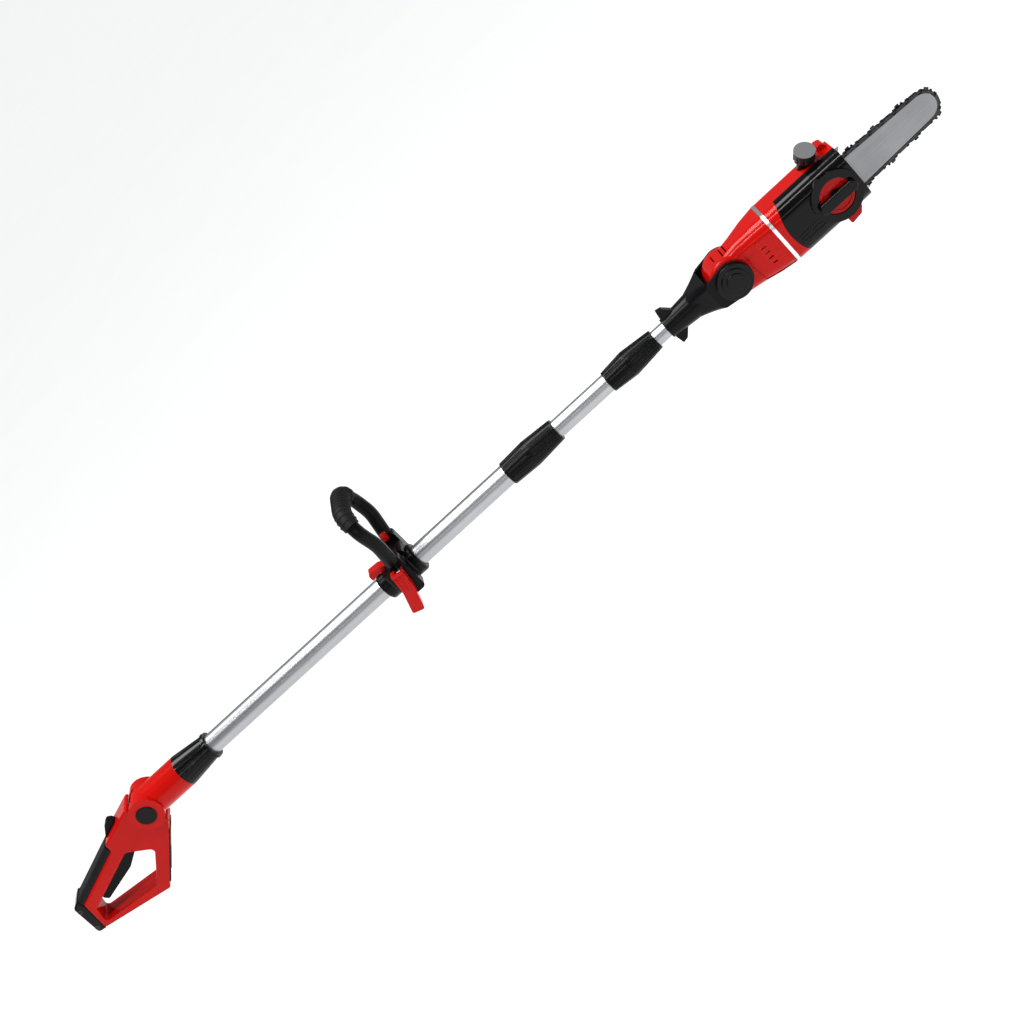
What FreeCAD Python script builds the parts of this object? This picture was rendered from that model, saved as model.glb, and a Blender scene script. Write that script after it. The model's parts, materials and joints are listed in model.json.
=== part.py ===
import FreeCAD, Part
import os
from math import acos, atan2, cos, degrees, hypot, pi, sin, tan

from FreeCAD import Vector

# Telescoping pole saw. Millimetres. The pole lies along +X with the saw head forward, +Z is up on the
# side of the bow handle, and +Y is the user's left. While it is modelled, X is counted from the hub
# that joins the rear handle to the pole, and Y and Z from the pole's centre line. The last step moves
# everything so that the origin is on the pole's centre line where a storage clip holds its bare tube.

# ---- clearances ----
moving_gap = 0.35          # between faces that slide or turn past each other
seat_gap = 0.15            # between fixed pieces that sit in one another
running_gap = 0.05         # radial, between a shaft or pin and its hole
stock = 200.0              # length of a cutting tool that is simply long enough

# ---- pole ----
outer_tube_radius = 15.0
tube_wall = 1.3
tube_slide_gap = 0.7       # radial, between a tube and the one that slides in it
pole_rear = 34.0           # rear end of the outer tube, inside the socket
stage_travel = 400.0       # how far each stage pulls out
stage_overlap = 90.0       # tube left inside the next one when it is pulled out
storage_clip_x = 608.0     # middle of the bare tube that a storage clip holds

# ---- twist collars ----
lower_base_rear = 689.0
lower_base_length = 40.0
lower_sleeve_length = 46.0
upper_base_rear = 865.0
upper_base_length = 36.0
upper_sleeve_length = 45.0
lower_rear_wall = 2.4      # collar walls, measured out from the larger tube
lower_seam_wall = 4.4
lower_front_wall = 1.0
upper_rear_wall = 2.2
upper_seam_wall = 5.6
upper_front_wall = 1.0
collar_rim = 5.0           # closed rim at the front end of a twist sleeve
collar_end_lead = 3.0      # plain length at each end of a collar's grooves
sleeve_end_lead = 4.0
collet_slot_lead = 8.0
collet_slot_width = 1.5
base_groove_count = 12
base_groove_radius = 1.6
sleeve_groove_count = 24
sleeve_groove_radius = 0.8

# ---- hub and pole socket ----
hub_step = 0.9             # hub, measured out from the socket
hub_side_step = 2.9        # hub's flat sides, measured out from the socket
knuckle_step = 1.5         # knuckle, measured in from the hub
knuckle_half_width = 12.5
hub_cap_radius = 14.5
hub_cap_height = 1.6
swivel_pin_radius = 5.0
socket_wall = 9.6          # measured out from the outer tube
socket_front = 75.0
socket_collar_front = 131.0
socket_collar_front_wall = 3.6
socket_collar_rim_wall = 5.6
socket_collar_rim = 4.0
socket_rib_count = 24
socket_rib_radius = 0.7

# ---- rear handle ----
handle_half_width = 20.0
shell_wall = 3.0
shell_edge = 3.0           # rounding along the outer edges of the two shells
panel_step = 1.4           # how far the web of the handle is set back from the grip
grip_pad_half_width = 17.5
grip_pad_depth = 10.0
grip_pad_edge = 7.0        # rounding along the back of the grip
grip_back_front = (-86.0, 1.0)
grip_back_rear = (-181.0, -33.0)
foot_half_width = 18.0
screw_radius = 2.0
screw_head_radius = 3.6
screw_head_height = 2.2
swivel_down = 15.0         # degrees that the handle has room to swing; its joint stops a degree short
trigger_half_width = 7.5
trigger_pivot = (-74.0, -19.0)
trigger_pin_radius = 2.0
lock_button_half_width = 6.0
lock_button_rear = 62.0    # measured down the handle's back from its upper corner
lock_button_front = 33.0
dock_thickness = 5.2
dock_half_width = 17.6
dock_rail_height = 3.0
dock_rail_width = 6.0
dock_recess = 3.2          # how deep the dock sits in the handle's edge
dock_end = 5.0             # handle left at each end of the dock

# ---- bow handle ----
clamp_rear = 463.0
clamp_front = 527.0
clamp_wall = 6.5
clamp_edge = 4.0
clamp_split = 1.6          # width of the cut that lets the clamp close
clamp_boss_radius = 9.0
clamp_half_width = 26.0
bow_plane = 509.0          # where the bow stands along the pole
bow_tube_radius = 9.6
bow_base_half_width = 37.0
bow_top_half_width = 52.0
bow_top_height = 127.0
bow_foot_height = -17.0
bow_bend_radius = 32.0
grip_sleeve_radius = 11.6
grip_ring_radius = 1.5     # half thickness of the sleeve's bellows rings
grip_ring_count = 13
grip_bend_share = 0.6      # part of each bend that the sleeve covers
bow_bolt_height = 23.0
bow_bolt_radius = 3.0
bow_bolt_x = 507.0
bow_arm_out = 5.0          # how far the flattened arm stands out from the bow's own plane
tab_pivot_x = 487.0        # hinge of the release tab
tab_pivot_height = 4.6     # above the outer tube
tab_pin_radius = 1.5
tab_pin_half = 11.5
tab_half_width = 8.0
lever_pivot_out = 8.5      # lever's hinge line, out from the arm's face
lever_back_out = 6.0       # lever's outer face, out from its hinge line
lever_pin_radius = 1.6
lever_eye_radius = 4.0
lever_eye_half = 3.0
lever_eye_space = 1.0      # room for the eye inside the lever
lever_heel_radius = 8.0    # rounds the lever's upper end so that it clears the bow as it opens
lever_rib_radius = 0.9
lever_rib_spacing = 5.2
bow_nut_radius = 8.0
bow_nut_height = 9.0

# ---- tilting neck ----
neck_rear = 965.0
neck_sleeve_front = 1018.0
neck_rear_wall = 3.4       # measured out from the inner tube
neck_front_radius = 19.0
hook_height = 28.5
tilt_x = 1067.5
cheek_radius = 25.0
cheek_inner = 25.6
cheek_outer = 31.0
tilt_bolt_radius = 5.0
tilt_knob_radius = 24.2
tilt_knob_height = 7.0
tilt_knob_edge = 1.2
tilt_nut_radius = 22.0
tilt_nut_height = 4.5
saddle_radius = 31.0       # the neck stays outside this radius from the tilt axis
detent_radius = 20.0
detent_thickness = 1.4
detent_step = 15.0         # degrees between the head's seven positions
detent_count = 7

# ---- saw head ----
head_drop = 3.5            # the head's own centre line lies this far below the tilt axis
head_half_width = 37.0
head_half_height = 39.5
head_wall = 2.6
head_front = 1260.0
cheek_zone_half_width = 23.6
barrel_radius = 28.5       # rounded rear end of the housing, about the tilt axis
barrel_edge = 5.0
band_rear = 1141.0
band_width = 4.6
band_depth = 1.2
band_proud = 0.4
deck_y = -12.0             # plane of the deck behind the bar
deck_wall = 4.0
panel_depth = 1.2
cover_rear = 1154.0
cover_rear_corner = 1165.0
cover_wall = 2.6

# ---- drive ----
motor_radius = 20.0
motor_rear = 1090.0
motor_front = 1143.0
compartment_rear = 1148.0  # wall between the motor and the sprocket
bulkhead_thickness = 4.0
rotor_shaft_radius = 2.5
pinion_radius = 4.6
pinion_teeth = 9
gear_radius = 19.0
gear_inner_radius = 10.0
gear_teeth = 36
gear_thickness = 6.0
gear_groove_radius = 0.6
sprocket_x = 1181.0
sprocket_shaft_radius = 4.0
sprocket_teeth = 6
sprocket_tip_radius = 13.6
bearing_radius = 11.0
bearing_width = 6.0
bearing_holder_y = 14.0    # near face of the inner bearing's holder

# ---- bar and chain ----
bar_y = -19.0
bar_thickness = 4.0
bar_tail_x = 1200.0
bar_tail_half_height = 10.0
bar_shoulder_x = 1246.0
bar_shoulder_half_height = 22.0
nose_x = 1369.4
nose_radius = 17.2
nose_sprocket_radius = 13.0
nose_sprocket_half = 0.6   # half thickness
nose_sprocket_teeth = 10
nose_rivet_radius = 3.0
nose_side_gap = 0.3        # between the nose sprocket and its pocket, along Y
chain_gap = 0.3
chain_height = 4.6
chain_thickness = 4.8
cutter_height = 3.0
cutter_length = 6.0
cutter_root = 1.4          # how far a cutter is sunk into the band of links
link_count = 52
links_per_cutter = 4
link_notch_radius = 1.3
stud_x = 1225.7
stud_radius = 4.0
boss_radius = 33.0
boss_height = 5.0
boss_dish = 4.5            # depth of the dish in the boss
ring_radius = 18.5
ring_rim = 4.0             # width of the ring's raised rim
ring_dish = 1.0            # depth of the ring inside its rim
ring_height = 2.6
knob_hub_radius = 7.0
knob_foot_radius = 10.0
cover_groove_count = 5
cover_groove_spacing = 5.0
cover_groove_radius = 0.7
cover_knob_length = 55.0
cover_knob_width = 15.0
cover_knob_height = 10.0

# ---- oil ----
oil_cap_radius = 13.4
oil_cap_height = 14.0
oil_cap_axis = (0.42, -0.5, 0.76)
oil_neck_x = 1217.0
oil_neck_y = 10.8
oil_neck_z = 27.0
oil_neck_length = 24.2
oil_neck_radius = 9.0
oil_neck_wall = 2.5
oil_cap_lobes = 10
oil_cap_groove = 2.6

# ---- values that follow ----
middle_tube_radius = outer_tube_radius - tube_wall - tube_slide_gap
inner_tube_radius = middle_tube_radius - tube_wall - tube_slide_gap
lower_rear_radius = outer_tube_radius + lower_rear_wall
lower_seam_radius = outer_tube_radius + lower_seam_wall
lower_front_radius = outer_tube_radius + lower_front_wall
upper_rear_radius = middle_tube_radius + upper_rear_wall
upper_seam_radius = middle_tube_radius + upper_seam_wall
upper_front_radius = middle_tube_radius + upper_front_wall
socket_radius = outer_tube_radius + socket_wall
hub_radius = socket_radius + hub_step
hub_half_width = socket_radius + hub_side_step
knuckle_radius = hub_radius - knuckle_step
socket_collar_front_radius = outer_tube_radius + socket_collar_front_wall
socket_collar_rim_radius = outer_tube_radius + socket_collar_rim_wall
clamp_radius = outer_tube_radius + clamp_wall
neck_rear_radius = inner_tube_radius + neck_rear_wall
cover_front = head_front + 3
lower_seam = lower_base_rear + lower_base_length
lower_sleeve_front = lower_seam + lower_sleeve_length
outer_tube_front = lower_seam + 4.0
upper_seam = upper_base_rear + upper_base_length
upper_sleeve_front = upper_seam + upper_sleeve_length
middle_tube_front = upper_seam + 4.0
middle_tube_rear = outer_tube_front - stage_overlap - stage_travel
inner_tube_rear = middle_tube_front - stage_overlap - stage_travel
inner_tube_front = neck_sleeve_front - 4.0
head_z = -head_drop
tab_pivot = (tab_pivot_x, outer_tube_radius + tab_pivot_height)
lever_face = bow_base_half_width + bow_arm_out
lever_pivot_y = -lever_face - lever_pivot_out
lever_outer_y = lever_pivot_y - lever_back_out
gear_face = pinion_radius + moving_gap

x_axis = Vector(1, 0, 0)
y_axis = Vector(0, 1, 0)


# ---- shape helpers ----
def rod(radius, start, end):
    """Solid cylinder from one point to another"""
    base = Vector(*start)
    run = Vector(*end) - base
    return Part.makeCylinder(radius, run.Length, base, run)


def cone(rear_radius, front_radius, start, end):
    """Solid cone frustum from one point to another"""
    base = Vector(*start)
    run = Vector(*end) - base
    return Part.makeCone(rear_radius, front_radius, run.Length, base, run)


def pipe(outer, inner, start, end):
    """Tube between two points"""
    return rod(outer, start, end).cut(rod(inner, start, end))


def block(low, high):
    """Box from its lowest to its highest corner"""
    size = Vector(*high) - Vector(*low)
    return Part.makeBox(size.x, size.y, size.z, Vector(*low))


def cross_rod(radius, x, z, y_low, y_high):
    """Cylinder across the tool, along Y"""
    return rod(radius, (x, y_low, z), (x, y_high, z))


def rounded_wire(corners):
    """Closed wire through corners given as a point and a rounding radius"""
    points = [corner[0] for corner in corners]
    edges = []
    ends = []
    for index, (here, radius) in enumerate(corners):
        back = (points[index - 1] - here).normalize()
        ahead = (points[(index + 1) % len(points)] - here).normalize()
        half = acos(back.dot(ahead)) / 2
        setback = radius / tan(half)
        middle = here + (back + ahead).normalize() * (radius / sin(half) - radius)
        ends.append((here + back * setback, middle, here + ahead * setback))
    for index, (start, middle, end) in enumerate(ends):
        if start.distanceToPoint(end) > 1e-6:
            edges.append(Part.Arc(start, middle, end).toShape())
        following = ends[(index + 1) % len(ends)][0]
        if end.distanceToPoint(following) > 1e-6:
            edges.append(Part.LineSegment(end, following).toShape())
    return Part.Wire(edges)


def side_face(corners, y):
    """Face in a plane across Y from corners given as x, z and rounding radius"""
    return Part.Face(rounded_wire([(Vector(x, y, z), radius) for x, z, radius in corners]))


def slab(corners, y_low, y_high):
    """Side outline made solid between two planes across Y"""
    return side_face(corners, y_low).extrude(Vector(0, y_high - y_low, 0))


def section(x, half_width, half_height, corner, z=head_z):
    """Rounded rectangle across X, centred on the head's own centre line unless told otherwise"""
    places = [(-1, -1), (1, -1), (1, 1), (-1, 1)]
    corners = [(Vector(x, a * half_width, z + b * half_height), corner) for a, b in places]
    return rounded_wire(corners)


def moved_out(point, direction, distance):
    """Point shifted along a direction in the side plane"""
    return (point[0] + direction[0] * distance, point[1] + direction[1] * distance)


def fuse_all(shapes):
    """One solid from shapes that overlap"""
    return shapes[0].multiFuse(shapes[1:]).removeSplitter()


def group(shapes):
    """Separate solids kept in one node"""
    return Part.makeCompound(shapes)


def turned(shape, centre, axis, angle):
    """Copy of a shape turned about an axis"""
    copy = shape.copy()
    copy.rotate(centre, axis, angle)
    return copy


def mirrored(shape):
    """Copy on the other side of the plane Y = 0"""
    return shape.mirror(Vector(0, 0, 0), y_axis)


# ---- pole and collars ----
def tube_stage(radius, rear, front):
    return pipe(radius, radius - tube_wall, (rear, 0, 0), (front, 0, 0))


def fluted(body, count, groove_radius, rear, front, rear_radius, front_radius):
    """Body of revolution about X with grooves cut along it"""
    groove = rod(groove_radius, (rear, 0, rear_radius), (front, 0, front_radius))
    origin = Vector(0, 0, 0)
    cutters = [turned(groove, origin, x_axis, 360.0 * index / count) for index in range(count)]
    return body.cut(group(cutters))


def collar_base(rear, length, tube_radius, rear_radius, seam_radius):
    """Fixed half of a twist collar, on the larger tube"""
    front = rear + length - moving_gap
    body = cone(rear_radius, seam_radius, (rear, 0, 0), (front, 0, 0))
    body = body.cut(rod(tube_radius + seat_gap, (rear - 1, 0, 0), (front + 1, 0, 0)))
    lead = collar_end_lead
    return fluted(body, base_groove_count, base_groove_radius, rear + lead, front - lead,
                  rear_radius + 0.6, seam_radius + 0.6)


def collar_sleeve(rear, length, outer_radius, sliding_radius, seam_radius, front_radius):
    """Turning half of a twist collar, with a rim that closes in on the smaller tube"""
    front = rear + length
    body = cone(seam_radius, front_radius, (rear, 0, 0), (front, 0, 0))
    bore = outer_radius + moving_gap
    body = body.cut(rod(bore, (rear - 1, 0, 0), (front - collar_rim, 0, 0)))
    body = body.cut(rod(sliding_radius + moving_gap, (rear, 0, 0), (front + 1, 0, 0)))
    lead = sleeve_end_lead
    return fluted(body, sleeve_groove_count, sleeve_groove_radius, rear + lead, front - lead,
                  seam_radius + 0.2, front_radius + 0.2)


def collet(tube_front, outer_radius, sliding_radius, sleeve_front):
    """Slotted clamping ring at the front end of a tube"""
    front = sleeve_front - collar_rim - moving_gap
    body = pipe(outer_radius, sliding_radius + moving_gap, (tube_front, 0, 0), (front, 0, 0))
    half = collet_slot_width / 2
    slot = block((tube_front + collet_slot_lead, -half, 0), (front + 1, half, stock))
    slots = [turned(slot, Vector(0, 0, 0), x_axis, 90.0 * index) for index in range(4)]
    return body.cut(group(slots))


# ---- hub, socket and swivel ----
def pole_socket():
    tube = rod(socket_radius, (0, 0, 0), (socket_front, 0, 0))
    barrel = cross_rod(hub_radius, 0, 0, -hub_half_width, hub_half_width)
    body = barrel.fuse(tube).removeSplitter()
    knuckle_space = cross_rod(knuckle_radius + moving_gap, 0, 0,
                              -knuckle_half_width - moving_gap, knuckle_half_width + moving_gap)
    bore = rod(outer_tube_radius + seat_gap, (pole_rear - seat_gap, 0, 0), (socket_front + 1, 0, 0))
    pin_hole = cross_rod(swivel_pin_radius + seat_gap, 0, 0, -stock, stock)
    rear_way = block((-hub_radius - 1, -knuckle_half_width - moving_gap, -hub_radius - 1),
                     (0, knuckle_half_width + moving_gap, hub_radius + 1))
    return body.cut(group([knuckle_space, bore, pin_hole, rear_way]))


def hub_caps():
    cap = cross_rod(hub_cap_radius, 0, 0, -hub_half_width - hub_cap_height, -hub_half_width)
    rim = [edge for edge in cap.Edges if edge.BoundBox.YMax < -hub_half_width - hub_cap_height / 2]
    cap = cap.makeFillet(hub_cap_height / 2, rim)
    return group([cap, mirrored(cap)])


def socket_collar():
    front = socket_collar_front
    rim_start = front - socket_collar_rim
    body = cone(socket_radius, socket_collar_front_radius, (socket_front, 0, 0), (rim_start, 0, 0))
    rim = cone(socket_collar_rim_radius, socket_collar_rim_radius - 1, (rim_start, 0, 0), (front, 0, 0))
    body = body.fuse(rim)
    body = body.cut(rod(outer_tube_radius + seat_gap, (socket_front - 1, 0, 0), (front + 1, 0, 0)))
    lead = collar_end_lead
    return fluted(body, socket_rib_count, socket_rib_radius, socket_front + lead, rim_start - lead,
                  socket_radius - 0.1, socket_collar_front_radius + 0.3)


# ---- rear handle ----
grip_run = (grip_back_rear[0] - grip_back_front[0], grip_back_rear[1] - grip_back_front[1])
grip_length = hypot(*grip_run)
grip_along = (grip_run[0] / grip_length, grip_run[1] / grip_length)
grip_inward = (-grip_along[1], grip_along[0])
pad_front = moved_out(grip_back_front, grip_inward, grip_pad_depth)
pad_rear = moved_out(grip_back_rear, grip_inward, grip_pad_depth)
dock_low = (-74.0, -108.5)
dock_high = (-1.0, -41.5)
dock_run = (dock_high[0] - dock_low[0], dock_high[1] - dock_low[1])
dock_length = hypot(*dock_run)
dock_along = (dock_run[0] / dock_length, dock_run[1] / dock_length)
dock_outward = (dock_along[1], -dock_along[0])

# outlines of the handle as x, z and a corner's rounding radius
shell_outline = [(-17, 25, 4), (-80, 4.5, 5), (pad_front[0], pad_front[1], 1), (pad_rear[0], pad_rear[1], 1),
                 (-188.5, -91, 5), (-76, -113, 5), (dock_low[0], dock_low[1], 1),
                 (dock_high[0], dock_high[1], 4), (10, -31, 4)]
web_panel_outline = [(-26, -14, 1), (-172, -66, 1), (-215, -100, 1), (-90, -150, 1), (60, -70, 1),
                     (40, -8, 1)]
opening_outline = [(-72, -25, 7), (-41, -51, 7), (-86, -95, 7), (-180, -85, 5), (-171, -60, 4)]


def inset(face, distance):
    """Face shrunk all round by a distance"""
    return face.makeOffset2D(-distance)


def handle_shell_blank():
    """Both shells as one hollow body, before it is split at Y = 0"""
    outer = side_face(shell_outline, -handle_half_width)
    opening = side_face(opening_outline, -handle_half_width)
    plate = outer.cut(opening)
    body = plate.extrude(Vector(0, 2 * handle_half_width, 0))
    rim = handle_half_width - 0.1
    edges = [edge for edge in body.Edges if edge.BoundBox.YMax < -rim or edge.BoundBox.YMin > rim]
    body = body.makeFillet(shell_edge, edges)
    step = slab(web_panel_outline, -stock, panel_step - handle_half_width)
    return body.cut(group([step, mirrored(step)]))


def handle_hollow():
    """Space inside the two shells"""
    depth = handle_half_width - shell_wall
    outer = inset(side_face(shell_outline, -depth), shell_wall)
    opening = side_face(opening_outline, -depth).makeOffset2D(shell_wall)
    hollow = outer.cut(opening).extrude(Vector(0, 2 * depth, 0))
    hub_wall = cross_rod(hub_radius + moving_gap + shell_wall, 0, 0, -stock, stock)
    return hollow.cut(hub_wall)


def trigger_slot():
    low, high = -trigger_half_width - moving_gap, trigger_half_width + moving_gap
    outline = [(-62, -14, 1), (-58, -42, 1), (-164, -72, 1), (-164, -50, 1)]
    return slab(outline, low, high)


def back_outline(places):
    """Outline from places given down and in from the handle's upper back, each with a rounding radius"""
    start, end = shell_outline[0], shell_outline[1]
    length = hypot(end[0] - start[0], end[1] - start[1])
    along = ((end[0] - start[0]) / length, (end[1] - start[1]) / length)
    inward = (-along[1], along[0])
    outline = []
    for down, depth, radius in places:
        outline.append(moved_out(moved_out(start, along, down), inward, depth) + (radius,))
    return outline


def lock_button_slot():
    half = lock_button_half_width + moving_gap
    front = lock_button_front - moving_gap
    rear = lock_button_rear + moving_gap
    outline = back_outline([(front, -20, 0.5), (rear, -20, 0.5), (rear, 14, 0.5), (front, 14, 0.5)])
    return slab(outline, -half, half)


def socket_swing():
    """Space that the socket takes up when the handle is swung fully down"""
    tube = rod(socket_radius + moving_gap, (0, 0, 0), (socket_front, 0, 0))
    barrel = cross_rod(hub_radius + moving_gap, 0, 0, -hub_half_width, hub_half_width)
    front = block((0, -stock, -stock), (stock, stock, stock))
    swung = turned(barrel.common(front).fuse(tube), Vector(0, 0, 0), y_axis, swivel_down)
    return swung.cut(cross_rod(knuckle_radius, 0, 0, -stock, stock))


def handle_shells():
    body = handle_shell_blank()
    hollow = handle_hollow()
    barrel_space = cross_rod(hub_radius + moving_gap, 0, 0, -stock, stock)
    middle = cross_rod(stock, 0, 0, -knuckle_half_width, knuckle_half_width)
    body = body.cut(barrel_space)
    knuckle = cross_rod(knuckle_radius, 0, 0, -knuckle_half_width, knuckle_half_width)
    web_outline = [(-30, 14, 2), (8, -36, 2), (-20, -46, 2), (-52, -10, 2)]
    web = slab(web_outline, -knuckle_half_width, knuckle_half_width).common(middle)
    body = body.cut(hollow)
    body = fuse_all([body, knuckle, web]).cut(socket_swing())
    body = body.cut(cross_rod(swivel_pin_radius + running_gap, 0, 0, -stock, stock))
    body = body.cut(group([trigger_slot(), lock_button_slot(), dock_space()]))
    peg = cross_rod(trigger_pin_radius, trigger_pivot[0], trigger_pivot[1],
                    -handle_half_width + 1, handle_half_width - 1)
    body = body.fuse(peg)
    right = body.common(block((-stock * 2, -stock, -stock), (stock, -seat_gap / 2, stock)))
    left = body.common(block((-stock * 2, seat_gap / 2, -stock), (stock, stock, stock)))
    return right, left


def shell_screw_places():
    return [(-50, 0), (-24, -42), (-62, -84), (-120, -100.5), (-176, -66)]


def grip_point(along, inward):
    """Point of the side plane, measured along the grip's back and in from it"""
    return moved_out(moved_out(grip_back_front, grip_along, along), grip_inward, inward)


def grip_outline(places):
    """Outline from places given along and in from the grip's back, each with a rounding radius"""
    return [grip_point(along, inward) + (radius,) for along, inward, radius in places]


def grip_pad():
    depth = grip_pad_depth - seat_gap
    end = grip_length - seat_gap
    outline = grip_outline([(seat_gap, 0, 0), (end, 0, 0), (end, depth, 0), (seat_gap, depth, 0)])
    body = slab(outline, -grip_pad_half_width, grip_pad_half_width)
    middle = grip_point(grip_length / 2, 0)
    back = [edge for edge in body.Edges
            if hypot(edge.CenterOfMass.x - middle[0], edge.CenterOfMass.z - middle[1]) < 1.0]
    return body.makeFillet(grip_pad_edge, back)


def foot_cap():
    gap = seat_gap
    top_rear = (grip_back_rear[0] - gap, grip_back_rear[1] + 1.5)
    outline = [(top_rear[0], top_rear[1], 2), (-194, -38, 6), (-202, -91, 5), (-189.2, -93, 1),
               (pad_rear[0] - gap - 0.6, pad_rear[1] - 0.5, 0.4)]
    body = slab(outline, -foot_half_width, foot_half_width)
    end_edges = [edge for edge in body.Edges
                 if abs(abs(edge.CenterOfMass.y) - foot_half_width) < 0.01 and edge.CenterOfMass.x < -192]
    return body.makeFillet(3.0, end_edges)


def foot_screw_places():
    """Screw heads in the side of the foot cap"""
    return [(-190.5, -47.0), (-196.0, -83.0)]


def side_screw(x, z, face_y, length):
    """Cross-headed screw driven into a right-hand side face"""
    head = cross_rod(screw_head_radius, x, z, face_y - 0.4, face_y + screw_head_height)
    shank = cross_rod(screw_radius, x, z, face_y + screw_head_height - 0.1, face_y + length)
    slot = block((x - 2.4, face_y - 1.0, z - 0.4), (x + 2.4, face_y + 0.8, z + 0.4))
    slots = group([slot, turned(slot, Vector(x, 0, z), y_axis, 90)])
    return head.fuse(shank).removeSplitter().cut(slots)


def side_screw_hole(x, z, face_y, length):
    head = cross_rod(screw_head_radius + seat_gap, x, z, face_y - 10, face_y + screw_head_height + seat_gap)
    shank = cross_rod(screw_radius + seat_gap, x, z, face_y, face_y + length + seat_gap)
    return head.fuse(shank)


def trigger():
    outline = [(-64, -15, 3), (-64, -36, 5), (-92, -52, 14), (-153, -67, 3), (-158, -59, 3), (-152, -52.5, 2),
               (-84, -18, 4)]
    body = slab(outline, -trigger_half_width, trigger_half_width)
    sides = [edge for edge in body.Edges
             if abs(abs(edge.CenterOfMass.y) - trigger_half_width) < 0.01]
    body = body.makeFillet(1.2, sides)
    hole = cross_rod(trigger_pin_radius + running_gap, trigger_pivot[0], trigger_pivot[1], -stock, stock)
    return body.cut(hole)


def trigger_spring():
    """Torsion spring coiled round the trigger's peg"""
    wire = 0.6
    coil_radius = trigger_pin_radius + wire + moving_gap
    turns = 3
    pitch = 1.6
    helix = Part.makeHelix(pitch, pitch * turns, coil_radius)
    profile = Part.Wire(Part.makeCircle(wire, Vector(coil_radius, 0, 0), y_axis))
    coil = Part.Wire(helix.Edges).makePipeShell([profile], True, True)
    coil.rotate(Vector(0, 0, 0), x_axis, -90)
    coil.translate(Vector(trigger_pivot[0], trigger_half_width + moving_gap + wire, trigger_pivot[1]))
    return coil


def lock_off_button():
    half = lock_button_half_width
    front, rear = lock_button_front, lock_button_rear
    outline = back_outline([(front, 7, 1), (front, -6, 2), (front + 4, -11.5, 3), (front + 11, -11, 5),
                            (rear, -1.5, 1), (rear, 7, 1)])
    return slab(outline, -half, half)


def switch_block():
    """Switch inside the grip, behind the trigger, held between the two shells"""
    low = grip_pad_depth + shell_wall + seat_gap
    outline = grip_outline([(24, low, 0.5), (50, low, 0.5), (50, low + 5, 0.5), (24, low + 5, 0.5)])
    half = handle_half_width - shell_wall - seat_gap
    return slab(outline, -half, half)


def dock_point(along, outward):
    """Point of the side plane, measured up the handle's dock edge and out from it"""
    return moved_out(moved_out(dock_low, dock_along, along), dock_outward, outward)


def dock_space():
    """Recess for the dock in the handle's edge"""
    corners = [dock_point(dock_end, -dock_recess), dock_point(dock_length - dock_end, -dock_recess),
               dock_point(dock_length - dock_end, dock_recess), dock_point(dock_end, dock_recess)]
    half = dock_half_width + seat_gap
    return slab([(x, z, 0) for x, z in corners], -half, half)


def battery_dock():
    low = dock_point(dock_end + seat_gap, seat_gap - dock_recess)
    high = dock_point(dock_length - dock_end - seat_gap, seat_gap - dock_recess)
    far_high = moved_out(high, dock_outward, dock_thickness - dock_rail_height)
    far_low = moved_out(low, dock_outward, dock_thickness - dock_rail_height)
    outline = [(low[0], low[1], 0.5), (high[0], high[1], 0.5), (far_high[0], far_high[1], 0.5),
               (far_low[0], far_low[1], 0.5)]
    plate = slab(outline, -dock_half_width, dock_half_width)
    rail_high = moved_out(far_high, dock_outward, dock_rail_height)
    rail_low = moved_out(far_low, dock_outward, dock_rail_height)
    rail_outline = [(far_low[0], far_low[1], 0.5), (far_high[0], far_high[1], 0.5),
                    (rail_high[0], rail_high[1], 0.5), (rail_low[0], rail_low[1], 0.5)]
    rail = slab([(x - 0.2 * dock_outward[0], z - 0.2 * dock_outward[1], r) for x, z, r in rail_outline],
                -dock_half_width, -dock_half_width + dock_rail_width)
    return fuse_all([plate, rail, mirrored(rail)])


def battery_terminals():
    """Contact block between the dock's rails, with its blades"""
    base = dock_point(dock_length - dock_end, dock_thickness - dock_rail_height - dock_recess + 2 * seat_gap)
    start = moved_out(base, dock_along, -8.0)
    end = moved_out(base, dock_along, -34.0)
    start_out = moved_out(start, dock_outward, dock_rail_height)
    end_out = moved_out(end, dock_outward, dock_rail_height)
    outline = [(p[0], p[1], 0.4) for p in (start, end, end_out, start_out)]
    return slab(outline, -9.0, 9.0)


# ---- bow handle ----
def bow_corners(side):
    """Corner points of the bow's centre line on one side, from the foot to the top"""
    return [Vector(504, side * bow_base_half_width, bow_foot_height),
            Vector(507, side * bow_base_half_width, bow_bolt_height + 14),
            Vector(514, side * (bow_base_half_width + 9), 72),
            Vector(bow_plane, side * bow_top_half_width, bow_top_height)]


def bow_path():
    """Centre line of the bow: straight runs joined by tangent arcs"""
    points = bow_corners(-1) + list(reversed(bow_corners(1)))
    radii = [0, 55, 60, bow_bend_radius, bow_bend_radius, 60, 55, 0]
    edges = []
    last = points[0]
    for index in range(1, len(points) - 1):
        here = points[index]
        back = (points[index - 1] - here).normalize()
        ahead = (points[index + 1] - here).normalize()
        half = acos(back.dot(ahead)) / 2
        setback = radii[index] / tan(half)
        middle = here + (back + ahead).normalize() * (radii[index] / sin(half) - radii[index])
        start = here + back * setback
        end = here + ahead * setback
        edges.append(Part.LineSegment(last, start).toShape())
        edges.append(Part.Arc(start, middle, end).toShape())
        last = end
    edges.append(Part.LineSegment(last, points[-1]).toShape())
    return Part.Wire(edges)


def swept(path, radius):
    start = path.Vertexes[0].Point
    direction = path.Edges[0].tangentAt(path.Edges[0].FirstParameter)
    circle = Part.Wire(Part.makeCircle(radius, start, direction))
    return path.makePipeShell([circle], True, False)


def bow_bolt_hole(radius):
    return cross_rod(radius, bow_bolt_x, bow_bolt_height, -stock, stock)


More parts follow.
